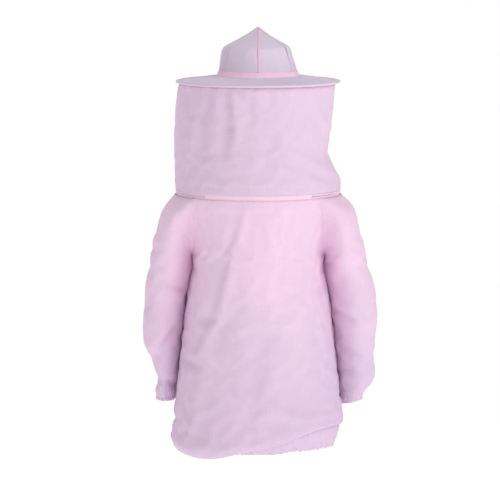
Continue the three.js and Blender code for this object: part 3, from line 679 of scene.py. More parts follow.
def maths(tree, operation, first, second=None, third=None, clamp=False):
    made = tree.nodes.new("ShaderNodeMath")
    made.operation, made.use_clamp = operation, clamp
    for i, value in enumerate((first, second, third)):
        if value is None:
            continue
        if isinstance(value, (int, float)):
            made.inputs[i].default_value = value
        else:
            tree.links.new(value, made.inputs[i])
    return made.outputs[0]


WEAVE = 0.0013
STITCH = 0.0042
STITCH_ROWS = (0.002, 0.008)


def cotton(name, colours, body):
    """Plain-weave cotton, washed and matt, with a faint nap that lightens its edges.

    The threads of the real cloth are 0.3 mm apart, and are drawn at 1.3 mm so that the weave shows at all.
    """
    material, tree, shader = new_material(name)
    uv = node(tree, "TexCoord").outputs["UV"]
    place = node(tree, "TexCoord").outputs["Object"]
    seam = node(tree, "Attribute", attribute_name="seam").outputs["Fac"]
    gather = node(tree, "Attribute", attribute_name="gather").outputs["Fac"]
    cross = maths(tree, "MULTIPLY", bands(tree, uv, WEAVE, "X"), bands(tree, uv, WEAVE, "Y"))
    # Uneven threads: streaks about 1.5 mm wide and 30 mm long, both ways.
    streaks = [long_noise(tree, uv, scale, 2.0) for scale in ((650, 34, 1), (34, 650, 1))]
    slub = maths(tree, "ADD", *streaks)
    # Dye and light wear vary over a hand's width, in random patches of a greyer tone. Painted shade darkens
    # the cloth more and more towards the hem.
    cast = ranged(tree, noise(tree, place, 7.0, 3.0, Roughness=0.55), 0.35, 0.75, 0.0, 0.34)
    up = node(tree, "SeparateXYZ", (), {"Vector": place}).outputs["Z"]
    # Painted shade: from 0.2 m below the neck ring down to the hem, the shade colour is mixed in more and
    # more.
    share = maths(tree, "ADD", cast, ranged(tree, up, -0.2, -0.48, 0.0, 0.55), clamp=True)
    base = mixed(tree, {"A": rgba(body), "B": rgba(colours.shade)}, {"Factor": share})
    thread_tone = ranged(tree, slub, 0.6, 1.4, 0.93, 1.03)
    toned = mixed(tree, {"Factor": 1.0}, {"A": base, "B": thread_tone}, blend_type="MULTIPLY")
    # Creases from wearing are 20 to 60 mm long, and the puckers of a gathered edge run down the cloth.
    crease = noise(tree, place, 24.0, 4.0, Roughness=0.5, Distortion=0.6)
    pucker = maths(tree, "MULTIPLY", long_noise(tree, uv, (105, 13, 1), 1.0), gather)
    # Two rows of lockstitch run along a sewn edge, and the cloth is drawn in between.
    rows = None
    for offset in STITCH_ROWS:
        off = maths(tree, "ABSOLUTE", maths(tree, "SUBTRACT", seam, offset))
        line = ranged(tree, off, 0.0003, 0.0011, 1.0, 0.0)
        rows = line if rows is None else maths(tree, "MAXIMUM", rows, line)
    drawn = maths(tree, "MULTIPLY", crease, ranged(tree, seam, 0.008, 0.02, 1.0, 0.0))
    sewn = maths(tree, "MULTIPLY", rows, bands(tree, uv, STITCH, "DIAGONAL"))
    height = maths(tree, "MULTIPLY", cross, 0.16)
    for part, depth in ((slub, 0.10), (crease, 0.8), (pucker, 3.2), (rows, -0.45), (drawn, 0.9), (sewn, 0.4)):
        height = maths(tree, "MULTIPLY_ADD", part, depth, height)
    thread_share = maths(tree, "MULTIPLY", sewn, 0.7)
    threaded = mixed(tree, {"B": rgba(colours.thread)}, {"Factor": thread_share, "A": toned})
    plain = {
        "Sheen Weight": 0.22,
        "Sheen Roughness": 0.45,
        "Sheen Tint": rgba(body),
        "Specular IOR Level": 0.25,
    }
    rough = ranged(tree, crease, 0.3, 0.7, 0.82, 0.92)
    finish_shader(tree, shader, plain, {"Base Color": threaded, "Roughness": rough}, height, 0.001)
    return material


def tulle(name, colours):
    """Polyester tulle: round cells between fine black threads, see-through, with a slight lustre.

    The cells are drawn 2.2 mm wide, which is near their real size.
    """
    material, tree, shader = new_material(name)
    uv = node(tree, "TexCoord").outputs["UV"]
    cells = node(tree, "TexVoronoi", {"Scale": 1 / 0.0022, "Randomness": 0.22}, {"Vector": uv},
                 feature="DISTANCE_TO_EDGE", voronoi_dimensions="2D").outputs["Distance"]
    thread = ranged(tree, cells, 0.12, 0.17, 1.0, 0.0)
    plain = {"Base Color": rgba(colours.net), "Roughness": 0.55}
    finish_shader(tree, shader, plain, {"Alpha": thread}, thread, 0.0003)
    return material


def webbing(name, body, pitch, rib, roughness, sheen, across="X"):
    """A woven or knitted band: ribs along it and finer threads across, pressed flat."""
    material, tree, shader = new_material(name)
    uv = node(tree, "TexCoord").outputs["UV"]
    ribs, threads = bands(tree, uv, rib, across), bands(tree, uv, pitch, "Y" if across == "X" else "X")
    slant = bands(tree, uv, pitch * 2, "DIAGONAL")
    fine = maths(tree, "MULTIPLY", maths(tree, "MAXIMUM", threads, slant), 0.15)
    height = maths(tree, "MULTIPLY_ADD", ribs, 0.25, fine)
    # Painted shade: the band is darker where it is low, in the grooves between its ribs and threads.
    tone = ranged(tree, height, 0.0, 0.4, 0.86, 1.0)
    toned = mixed(tree, {"Factor": 1.0, "A": rgba(body)}, {"B": tone}, blend_type="MULTIPLY")
    plain = {"Roughness": roughness, "Sheen Weight": sheen}
    finish_shader(tree, shader, plain, {"Base Color": toned}, height, 0.001)
    return material


def hard(name, body, roughness, metallic, grain, depth, scratch=0.0):
    """A hard finish with a fine uneven surface: moulded acetal, plated zinc or pressed board."""
    material, tree, shader = new_material(name)
    place = node(tree, "TexCoord").outputs["Object"]
    worn = noise(tree, place, 90.0, 3.0)
    tone = ranged(tree, worn, 0.3, 0.7, 0.9, 1.02)
    toned = mixed(tree, {"Factor": 1.0, "A": rgba(body)}, {"B": tone}, blend_type="MULTIPLY")
    rough = ranged(tree, worn, 0.3, 0.7, roughness - scratch, roughness + scratch)
    grains = noise(tree, place, 1 / grain, 4.0)
    links = {"Base Color": toned, "Roughness": rough}
    finish_shader(tree, shader, {"Metallic": metallic}, links, grains, depth)
    return material


def finishes():
    """Each finish by its common name, made once."""
    colours = bpy.context.scene.jacket_colours
    made = {
        "cotton": lambda n: cotton(n, colours, colours.cotton),
        "doubled_cotton": lambda n: cotton(n, colours, colours.band),
        # Painted shade: the veil's cotton is a darker, greyer copy of the body's cotton.
        "shaded_veil_cotton": lambda n: cotton(n, colours, colours.veil),
        # Painted shade: the hat's cotton is the darkest, greyest copy of the body's cotton.
        "shaded_hat_cotton": lambda n: cotton(n, colours, colours.hat),
        "polyester_tulle": lambda n: tulle(n, colours),
        # Herringbone zip tape: ribs 1.4 mm apart, drawn a little coarser than they are.
        "zip_tape": lambda n: webbing(n, colours.tape, 0.0014, 0.0028, 0.75, 0.1),
        # Elastic webbing has a rib about every 2 mm.
        "knitted_elastic": lambda n: webbing(n, colours.elastic, 0.0012, 0.0022, 0.8, 0.1, "Y"),
        "satin_ribbon": lambda n: webbing(n, colours.ribbon, 0.0010, 0.0020, 0.4, 0.3, "Y"),
        # Acetal teeth come out of the mould satin-smooth.
        "moulded_acetal": lambda n: hard(n, colours.teeth, 0.38, 0.0, 0.0008, 0.00003, 0.05),
        # Nickel plate on die-cast zinc, polished by handling.
        "nickel_plated_zinc": lambda n: hard(n, colours.steel, 0.26, 1.0, 0.0006, 0.00002, 0.08),
        "nonwoven_board": lambda n: hard(n, colours.board, 0.85, 0.0, 0.0015, 0.0001),
    }
    return {n: bpy.data.materials.get(n) or make(n) for n, make in made.items()}


def dress(piece, finish):
    piece.data.materials.clear()
    piece.data.materials.append(finishes()[finish])


NARROWEST_SHEET = 0.01  # anything narrower is a tape


def declare(points, ease):
    """Measures a piece's cut size along the cloth, with its ease, and does nothing more with it."""
    wide = round(steps(points, 1).sum(axis=1).max() * MM * (1 + ease), 3)
    long = round(steps(points, 0).sum(axis=0).max() * MM * (1 + ease), 3)
    if min(wide, long) < NARROWEST_SHEET:
        return


def cloth_piece(name, points, finish, body, nodes, edges="", thickness=None, levels=1,
                gather=None, merge=False, ease=0.0, outward=None):
    """A finished sheet of cloth that rides on a body. Where body is (a, b, start, end) it rides on neither,
    and its place is baked into its mesh.
    """
    piece = cloth_object(name, points, edges, gather, merge, outward)
    finish_cloth(piece, thickness or bpy.context.scene.jacket_sizes.cloth, levels)
    dress(piece, finish)
    if isinstance(body, str):
        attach(piece, body)
    else:
        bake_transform(piece)
    if nodes:
        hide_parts(*nodes)
    declare(points, ease)
    return piece


# ---- Body and sleeves ----
DRAWN_FOLD = 0.0046  # the fold depth at which the tables' heights are true
# The larger folds as they hang, each from (x, z) to (x, z) with its height and half width. Valleys are
# negative.
BACK_FOLDS = [
    (30, -10, 64, -151, 3.5, 16), (64, -151, 94, -285, 6.0, 17), (94, -285, 148, -391, 4.5, 17),
    (46, -40, 84, -160, -3.0, 18), (84, -160, 118, -300, -4.5, 20), (118, -300, 166, -410, -3.5, 18),
    (-7, -346, 27, -559, -5.0, 26), (-49, -161, -67, -275, -3.0, 26), (-86, -480, -110, -520, -6.0, 46),
    (114, -418, 49, -505, -3.5, 10), (84, -423, 60, -482, -2.5, 7), (-131, -369, -116, -416, 3.0, 14),
    (120, -330, 160, -560, 4.5, 20), (-150, -240, -135, -420, -3.5, 20), (60, -560, 90, -600, 3.0, 9),
    (150, -540, 172, -600, 3.0, 9), (110, -560, 118, -612, 3.0, 8), (30, -575, 48, -612, 2.5, 8),
    (-40, -520, -150, -575, 5.0, 24), (-20, -560, -190, -560, -3.0, 16), (20, -300, 60, -330, 2.0, 30),
    (-20, -60, -40, -150, 2.0, 22),
]
FRONT_FOLDS = [
    (60, -30, 95, -230, 4.5, 18), (-60, -30, -105, -210, 4.0, 18), (110, -180, 60, -340, -4.0, 24),
    (-110, -160, -50, -330, -4.0, 24), (150, -220, 120, -330, 4.0, 18), (-150, -220, -110, -340, 4.0, 18),
    (60, -540, 90, -600, 4.0, 12), (-50, -540, -110, -600, 4.0, 14), (150, -540, 165, -600, 3.5, 12),
    (-160, -530, -150, -600, 3.5, 12), (20, -300, 50, -520, 3.0, 20), (-20, -320, -60, -520, 3.0, 20),
]
LEFT_SLEEVE_FOLDS = [
    (190, -24, 160, -124, -8.0, 9), (206, -20, 186, -130, 4.0, 12), (215, -226, 184, -240, -5.0, 7),
    (214, -242, 186, -256, 3.5, 8), (201, -340, 246, -400, -6.0, 11), (216, -330, 262, -380, 5.0, 14),
    (255, -468, 200, -473, -8.0, 6), (255, -484, 200, -488, 3.0, 9), (262, -120, 266, -230, 2.5, 22),
    (230, -170, 236, -215, -3.0, 16), (276, -300, 258, -350, 3.0, 14), (232, -268, 222, -330, -3.0, 14),
]
RIGHT_SLEEVE_FOLDS = [
    (-163, -296, -185, -293, -7.0, 8), (-185, -293, -227, -314, -6.0, 9), (-170, -278, -222, -292, 4.5, 10),
    (-200, -383, -267, -420, -6.0, 9), (-204, -368, -268, -402, 4.0, 10), (-215, -445, -267, -443, -5.0, 8),
    (-206, -458, -262, -462, 4.5, 11), (-165, -320, -190, -360, -6.0, 16), (-188, -60, -204, -190, 3.0, 14),
    (-168, -50, -176, -170, -3.5, 12), (-240, -150, -262, -250, 2.5, 20), (-245, -330, -270, -380, 3.0, 20),
]


def weathered(pieces):
    """The pattern's pieces with the larger folds drawn in, before they settle."""
    out = {}
    for name, points in pieces.items():
        x, y, z = np.moveaxis(points, -1, 0)
        behind = ramp(y, -25, 25)
        if name == "back":
            height = fold_height(points, BACK_FOLDS) * ramp(y, 10, 70)
        elif name.startswith("front"):
            height = fold_height(points, FRONT_FOLDS) * ramp(-y, 10, 70) * ramp(np.abs(x), 12, 40)
        else:
            folds = LEFT_SLEEVE_FOLDS if name == "sleeve_left" else RIGHT_SLEEVE_FOLDS
            other = [(a, b - 18, c, d - 12, h * 0.8, w * 1.2) for a, b, c, d, h, w in folds[::2]]
            height = fold_height(points, folds) * behind + fold_height(points, other) * (1 - behind)
            height = height * ramp(z, -500, -480)
        height = height * ramp(-z, 14, 40)
        # No fold moves a seam, so that neighbours still meet.
        columns = np.arange(points.shape[1])
        edge = ramp(np.minimum(columns, columns[-1] - columns), 0, 3)[None]
        out[name] = raised(points, height * edge * bpy.context.scene.jacket_sizes.fold / DRAWN_FOLD)
    return out


def held_body(pieces):
    """How firmly each point is held while the cloth settles: fully at the neck, the zip, the hem and the
    cuffs."""
    holds = {}
    for name, points in pieces.items():
        drop = -points[..., 2]
        row = np.arange(points.shape[0])[:, None] + 0 * drop
        hold = np.maximum(0.3, 1 - ramp(drop, 12, 30))
        if name.startswith("sleeve"):
            hold = np.maximum(hold, ramp(drop, 488, 500))
        else:
            hold = np.maximum(hold, ramp(row, points.shape[0] - 7, points.shape[0] - 4))
        if name.startswith("front"):
            hold[:, :2] = 1
        holds[name] = hold
    return holds


def near_seam(points, name):
    """1 along the raglan seams and under the arm, fading within a few rows and columns, and 0 at the neck
    and zip."""
    drop = -points[..., 2]
    column = np.arange(points.shape[1])[None] + 0 * drop
    last = points.shape[1] - 1
    from_edge = last - column if name.startswith("front") else np.minimum(column, last - column)
    return (1 - ramp(from_edge, 2, 9)) * ramp(drop, 16, 46) * (1 - ramp(drop, 138, 168))


def body_gather(points):
    """Strength of the puckers on the body and sleeves: just under the neckline and next to the elastic."""
    drop = -points[..., 2]
    return 0.5 * (1 - ramp(drop, 8, 46)) + 0.4 * ramp(drop, 570, 606)


SEAM_LAP = 4.2
SEAM_HEIGHT = 1.15


def unit(vectors):
    return vectors / np.linalg.norm(vectors, axis=1, keepdims=True)


def seam_strip(name, edge, first, second):
    """The felled seam over two sheets' shared edge: a narrow lap on the outside, as rows of points across."""
    a, b = unit(first - edge), unit(second - edge)
    normal = unit(np.cross(b - a, np.gradient(edge, axis=0)))
    middle = np.array([0, 0, 1]) * edge[:, 2:]
    normal *= np.sign((normal * (edge - middle)).sum())
    shoulder, brow = SEAM_LAP - 0.6, SEAM_HEIGHT - 0.2
    rows = [
        edge + a * SEAM_LAP + normal * 0.15,
        edge + a * shoulder + normal * brow,
        edge + normal * SEAM_HEIGHT,
        edge + b * shoulder + normal * brow,
        edge + b * SEAM_LAP + normal * 0.15,
    ]
    cloth_piece(name, smooth_rows(np.stack(rows, axis=1)), "cotton", "jacket", (),
                edges="lr", thickness=0.0005)


def smooth_rows(points):
    """A grid with a row between every two, on curves through the old ones."""
    rows = points.shape[0]
    at = np.linspace(0, rows - 1, (rows - 1) * 2 + 1)
    flat = points.reshape(rows, -1)
    low = np.clip(at.astype(int), 0, rows - 2)
    t = (at - low)[:, None]
    slope = np.gradient(flat, axis=0)
    a, b, da, db = flat[low], flat[low + 1], slope[low], slope[low + 1]
    curve = (2 * t**3 - 3 * t**2 + 1) * a + (3 * t**2 - 2 * t**3) * b
    curve += (t**3 - 2 * t**2 + t) * da + (t**3 - t**2) * db
    return curve.reshape(-1, *points.shape[1:])


# Sections of the gathered bands, down the outside, round the edge and up the inside: drop, inset and
# strength of frill.
HEM_SECTION = [
    (592, 1.5, 0.9), (597, 0.6, 1.0), (602, 0, 1.0), (607, 0, 1.0), (612, 0.6, 0.7), (617, 0.6, 0.6),
    (622, 0.2, 0.7), (627, 0, 0.9), (631, 0, 1.15), (634, 0.4, 1.25), (635.5, 1.6, 1.25), (635, 3.0, 1.2),
    (632, 4.0, 1.0), (627, 4.4, 0.8), (620, 4.6, 0.6), (613, 4.6, 0.6),
]
CUFF_SECTION = [
    (496, 1.5, 0.5), (500, 0.8, 0.9), (504, 0.8, 0.8), (508, 1.2, 0.6), (512, 1.2, 0.6), (516, 0.8, 0.8),
    (519, 0.6, 1.1), (521.5, 1.2, 1.2), (522, 2.6, 1.2), (520, 3.8, 1.0), (515, 4.2, 0.7), (508, 4.2, 0.6),
]
HEM_HALF_WIDTH = [(590, 197), (604, 200), (612, 201), (622, 195), (635, 187)]
HEM_SQUASH = 34.0  # how much less the hem's half depth is than its half width


def casing(axes_at, centre_at, section, around, seed, pitch, depth):
    """A gathered band round an elastic, as rows down its section."""
    rows = []
    turns = np.linspace(0, 2 * math.pi, around + 1)
    for drop, inset, frill in section:
        wide, deep = axes_at(drop)
        circumference = turns * (wide + deep) / 2
        wave = ripple(circumference, pitch, seed) * depth * frill
        lift = ripple(circumference + 5, pitch * 1.3, seed + 1) * depth * 0.7 * max(frill - 0.4, 0)
        row = oval(wide - inset + wave, deep - inset + wave, turns, -drop + lift)
        rows.append(row + np.array([*centre_at(drop), 0]))
    return closed(np.stack(rows))


# Where a sleeve's cloth leaves the jacket, and where it is all the sleeve's.
SLEEVE_START = (0.1925, 0.0, -0.105)
SLEEVE_END = (0.2908, 0.0, -0.1542)


def sleeve_bodies(side, sign):
    start, end = ((sign * x, y, z) for x, y, z in (SLEEVE_START, SLEEVE_END))
    return ("jacket", side + "_sleeve", start, end)


class JACKET_OT_body(bpy.types.Operator):
    """Makes the back, the fronts, the sleeves, the felled seams and the gathered hem and cuffs"""

    bl_idname = "jacket.body"
    bl_label = "Body and sleeves"

    def execute(self, context):
        sizes = context.scene.jacket_sizes
        flat, upper = pattern(sizes.mesh / MM)
        pieces = weathered(flat)
        softer = {name: near_seam(points, name) for name, points in pieces.items()}
        holds = held_body(pieces)
        pieces = settle(pieces, holds, sizes.ease, sizes.settle_frames, sizes.sag_limit, softer)
        SETTLED.update({name: (flat[name], points) for name, points in pieces.items()})
        back = pieces["back"]
        self.panel("back_panel", back)
        for side, sign in SIDES:
            front, sleeve = pieces["front_" + side], pieces["sleeve_" + side]
            self.panel("front_panel", front, "_" + side)
            drop = -sleeve[..., 2]
            gather = 0.9 * ramp(drop, 455, 498) + 0.4 * (1 - ramp(drop, 8, 40))
            cloth_piece(f"sleeve_cloth_{side}", sleeve, "cotton", sleeve_bodies(side, sign),
                        [f"shoulder_{side}", f"sleeve_{side}"], edges="lr",
                        gather=gather, merge=True, ease=sizes.ease)
            edge, near = (0, 1) if side == "right" else (-1, -2)
            top, low = slice(0, upper), slice(upper - 1, back.shape[0] - 3)
            seam_strip(f"raglan_seam_back_{side}", back[top, edge], back[top, near], sleeve[top, 1])
            seam_strip(f"raglan_seam_front_{side}", front[top, -1], front[top, -2], sleeve[top, -2])
            seam_strip(f"side_seam_{side}", back[low, edge], back[low, near], front[low, -2])
        self.hem(sizes)
        for side, sign in SIDES:
            self.cuff(sizes, side, sign)
        return {"FINISHED"}

    def panel(self, name, points, side=""):
        cloth_piece(name + "_cloth" + side, points, "cotton", "jacket", [name + side],
                    edges="lr", gather=body_gather(points),
                    ease=bpy.context.scene.jacket_sizes.ease)

    def hem(self, sizes):
        def axes(drop):
            wide = along(HEM_HALF_WIDTH, drop, 4)
            return wide, wide - HEM_SQUASH

        pitch, depth = sizes.gather_pitch / MM, sizes.gather / MM
        points = casing(axes, lambda drop: (0, 0), HEM_SECTION, 480, 3.0, pitch, depth)
        # Where the body rides up over the elastic, the band reaches up under it.
        roll = along(ROLL, np.degrees(np.arctan2(points[..., 1], points[..., 0])), 5)
        down = np.clip((-points[..., 2] - 592) / 43, 0, 1.1)
        points[..., 2] += -0.95 * (1 - down) * np.minimum(roll, 0) + 6 * down * ramp(-roll, 0, 20)
        cloth_piece("hem_band", points, "cotton", "jacket", ["hem_casing", "hem_elastic"],
                    edges="b", gather=np.full(points.shape[:2], 0.5), merge=True)

    def cuff(self, sizes, side, sign):
        def sides(drop):
            return sleeve_sides(np.minimum(drop, CUFF_DROP + 6), side)

        def axes(drop):
            inner, outer = sides(drop)
            return (outer - inner) / 2, along(SLEEVE_DEPTH, drop, 8)

        def centre(drop):
            inner, outer = sides(drop)
            return sign * (outer + inner) / 2, along(SLEEVE_BACK, drop, 14)

        pitch, depth = sizes.gather_pitch * 0.75 / MM, sizes.gather * 0.8 / MM
        points = casing(axes, centre, CUFF_SECTION, 132, 5.0 + sign, pitch, depth)
        cloth_piece(f"cuff_band_{side}", points, "cotton", side + "_sleeve",
                    [f"cuff_casing_{side}", f"cuff_elastic_{side}"],
                    edges="b", gather=np.full(points.shape[:2], 0.5), merge=True)


# The front and back of the cloth before and after it settled, for what is sewn on to it.
SETTLED = {}


# ---- Veil ----
VEIL_FOLDS = [
    (82, 262, 76, 228, -6.0, 7), (76, 228, 78, 168, -6.0, 11), (78, 168, 88, 108, -4.5, 16),
    (64, 246, 54, 190, 4.5, 9), (54, 190, 54, 132, 3.0, 13), (50, 262, 23, 222, -5.0, 7),
    (23, 222, 17, 186, -3.0, 9), (106, 254, 101, 212, 4.0, 8), (120, 258, 132, 190, -3.0, 9),
    (140, 200, 134, 100, -2.5, 12), (158, 182, 165, 105, 3.0, 9), (172, 250, 176, 150, -2.0, 10),
    (36, 256, 30, 236, 3.0, 6), (4, 262, -6, 228, 2.5, 8), (-22, 262, -30, 236, -2.0, 7),
    (-56, 122, -198, 46, 3.5, 14), (-50, 98, -180, 36, -3.0, 12), (-119, 257, -175, 158, 3.0, 12),
    (-100, 250, -160, 150, -2.5, 12), (-30, 150, -10, 60, -2.0, 22),
]
# How far out the veil hangs at its left and right sides, by height.
VEIL_TOP = 268.1
VEIL_SIDE = 78  # degrees from the middle of the face to the net's edge
CHIN = 63  # height of the net's lower edge
VEIL_LEFT = [(0, 203.7), (20, 203.7), (91, 206), (150, 206), (194, 203.5), (253, 198), (268, 193.5)]
VEIL_RIGHT = [(0, 203.7), (20, 203.7), (32, 202), (56, 190), (79, 178), (95, 172), (107, 171), (130, 175),
              (158, 178.5), (210, 184.5), (253, 188.5), (268, 190.5)]


# The veil's back lies between the jacket and the hood: the two bodies, and two places from the jacket's nape
# towards the hood.
NAPE_BODIES = ("jacket", "hood", (0, 0.155, 0), (0, 0.095, 0.06))


def veil_points(columns, rows, low, high):
    """The veil's tube between two heights, as rows from the top down. Column 0 is in the middle of the
    face."""
    angles = np.radians(-90 + np.linspace(0, 360, columns + 1))[None]
    z = np.linspace(high, low, rows)[:, None]
    radius = mix(NECK_RADIUS + 0.7, 193.2, np.clip(z / VEIL_TOP, 0, 1)) + 0 * angles
    degrees = np.degrees(angles)
    left, right = np.exp(-((degrees / 44) ** 2)), np.exp(-(((degrees - 182) / 44) ** 2))
    radius = radius + (along(VEIL_LEFT, z, 8) - radius) * left + (along(VEIL_RIGHT, z, 8) - radius) * right
    radius = mix(radius, NECK_RADIUS + 0.7, 1 - ramp(z, 12, 26))
    free = ramp(z, 17, 34) * (1 - ramp(z, 262, 268))
    back = ramp(np.sin(angles), -0.2, 0.1)
    gathers = ripple(angles * BRIM_RADIUS, 19.0, 2.0) * ramp(z, 206, 262) * (1 - ramp(z, 264, VEIL_TOP)) * 1.1
    radius = radius + gathers * (0.35 + 0.65 * back) * (0.2 + 0.8 * ramp(degrees, 170, 60))
    points = oval(radius, radius, angles, z)
    folds = fold_height(points, VEIL_FOLDS) * free * ramp(np.sin(angles), 0.0, 0.3)
    return closed(points + oval(folds, folds, angles, 0 * z))


class JACKET_OT_veil(bpy.types.Operator):
    """Makes the veil: the cotton round the back, the net in front, the chin band and the throat guard"""

    bl_idname = "jacket.veil"
    bl_label = "Veil"

    def execute(self, context):
        sizes = context.scene.jacket_sizes
        columns, rows = 120, 29
        points = veil_points(columns, rows, ZIP_EDGE, VEIL_TOP)
        z = points[..., 2]
        hold = np.maximum(np.maximum(0.32, 1 - ramp(z, 14, 32)), ramp(z, 256, 266))
        hung = settle({"veil": points}, {"veil": hold}, sizes.ease * 0.8, 26, sizes.sag_limit * 0.7)
        points = closed(hung["veil"])
        chin = int(np.argmin(np.abs(points[:, 0, 2] - CHIN)))
        side = round(VEIL_SIDE / 360 * columns)
        back = points[:, side : columns - side + 1]
        strength = 0.5 * ramp(back[..., 2], 215, 262) + 0.3 * (1 - ramp(back[..., 2], 8, 30))
        cloth_piece("veil_back_cloth", back, "shaded_veil_cotton", NAPE_BODIES, ["veil_cloth"],
                    edges="lrt", gather=strength, ease=sizes.ease)
        face = np.concatenate([points[:, columns - side : columns], points[:, : side + 1]], axis=1)
        cloth_piece("veil_front_net", face[: chin + 1], "polyester_tulle", "hood", ["veil_net"],
                    thickness=0.0003)
        cloth_piece("chin_band_cloth", face[chin:], "shaded_veil_cotton", "hood", ["chin_band"],
                    edges="ltr")
        self.guard()
        return {"FINISHED"}

    def guard(self):
        u = np.linspace(-0.5, 0.5, 15)[None]
        t = np.linspace(0, 1, 17)[:, None]
        radius = mix(199.0, 192.0, t) + 0.5 * np.cos(u * 19) * ramp(t, 0.2, 0.9)
        angle = np.radians(-90 + 18 * u)
        points = oval(radius, radius, angle, mix(36.8, -26, t))
        cloth_piece("throat_guard_cloth", points, "doubled_cotton", "hood",
                    ["throat_guard"], edges="lrb")


# ---- Hat ----
# The crown's height and its share of the foot's width there.
CROWN_OUTLINE = [(0, 1.0), (20, 0.972), (44, 0.935), (62, 0.892), (71, 0.85), (77, 0.74), (86, 0.54),
                 (93, 0.39), (104, 0.19), (112, 0.07), (118, 0.0)]
# Dents in each gore: height, place across, height and width of the dent, and its depth, out where positive.
DENTS = [(66, -0.35, 22, 0.30, 5.0), (52, 0.55, 26, 0.25, -2.5), (86, 0.2, 18, 0.35, -2.5),
         (30, -0.5, 22, 0.25, 2.0)]
GORE = math.pi / 3
CROWN_RISE = 122 / 118  # the cloth stands over the frame's peak by its tapes and seam
BAND_SECTION = [(11.0, 0.4), (10.6, 1.5), (8, 2.2), (5, 2.4), (2, 3.0), (-0.8, 4.2), (-2.4, 7.0)]
SWEATBAND_SECTION = [(27, 4.2), (26.4, 5.2), (20, 5.6), (12, 5.4), (4, 5.0), (-2, 4.4), (-4.4, 3.6)]
BEAD = 3.1  # radius of the brim's bound edge, over its wire


def crown_line(seed):
    """A gore's outline from peak to foot, with its ridge a little sharper or softer from gore to gore."""
    height, share = np.array(CROWN_OUTLINE, float).T
    line = np.column_stack([share, 0 * height, height])
    line[3:5, 0] += 0.018 * math.sin(seed * 2.3)
    return even(smooth_line(line, 2), 33)[::-1]


def crown_share(height):
    return np.interp(height, *np.array(CROWN_OUTLINE, float).T)


def across_gore(angle):
    """How far across its gore an angle is, from 0 to 1, and how flat the gore is there."""
    u = np.mod(angle - math.pi / 2, GORE) / GORE
    return u, mix(1, math.cos(GORE / 2) / np.cos((u - 0.5) * GORE), 0.3)


def crown_point(angle, height, share, seed):
    """A point of the crown, where the cloth bellies a little between its seams and is dented here and
    there."""
    u, flat = across_gore(angle)
    sewn = np.exp(-((u / 0.05) ** 2)) + np.exp(-(((1 - u) / 0.05) ** 2))
    soft = 1.4 * np.sin(math.pi * u) ** 0.7 - 1.3 * sewn
    dent = 0
    for k, (z, c, w, s, h) in enumerate(DENTS):
        across = (u - 0.5 - c * math.sin(seed + k)) / s
        dent = dent + h * np.exp(-(((height - z) / w) ** 2)) * np.exp(-(across**2))
    swell = (soft + 0.55 * dent * np.sin(math.pi * u)) * np.minimum(1, share * 3)
    # The crown leans in at the wearer's right.
    lean = 1 - 0.09 * ramp(-np.cos(angle), 0.2, 0.95) * math.exp(-(((height - 64) / 34) ** 2))
    wide, deep = (CROWN[0] * share * flat + swell) * lean, CROWN[1] * share * flat + swell
    return oval(wide, deep, angle, CROWN_FOOT - 4 + height * CROWN_RISE)


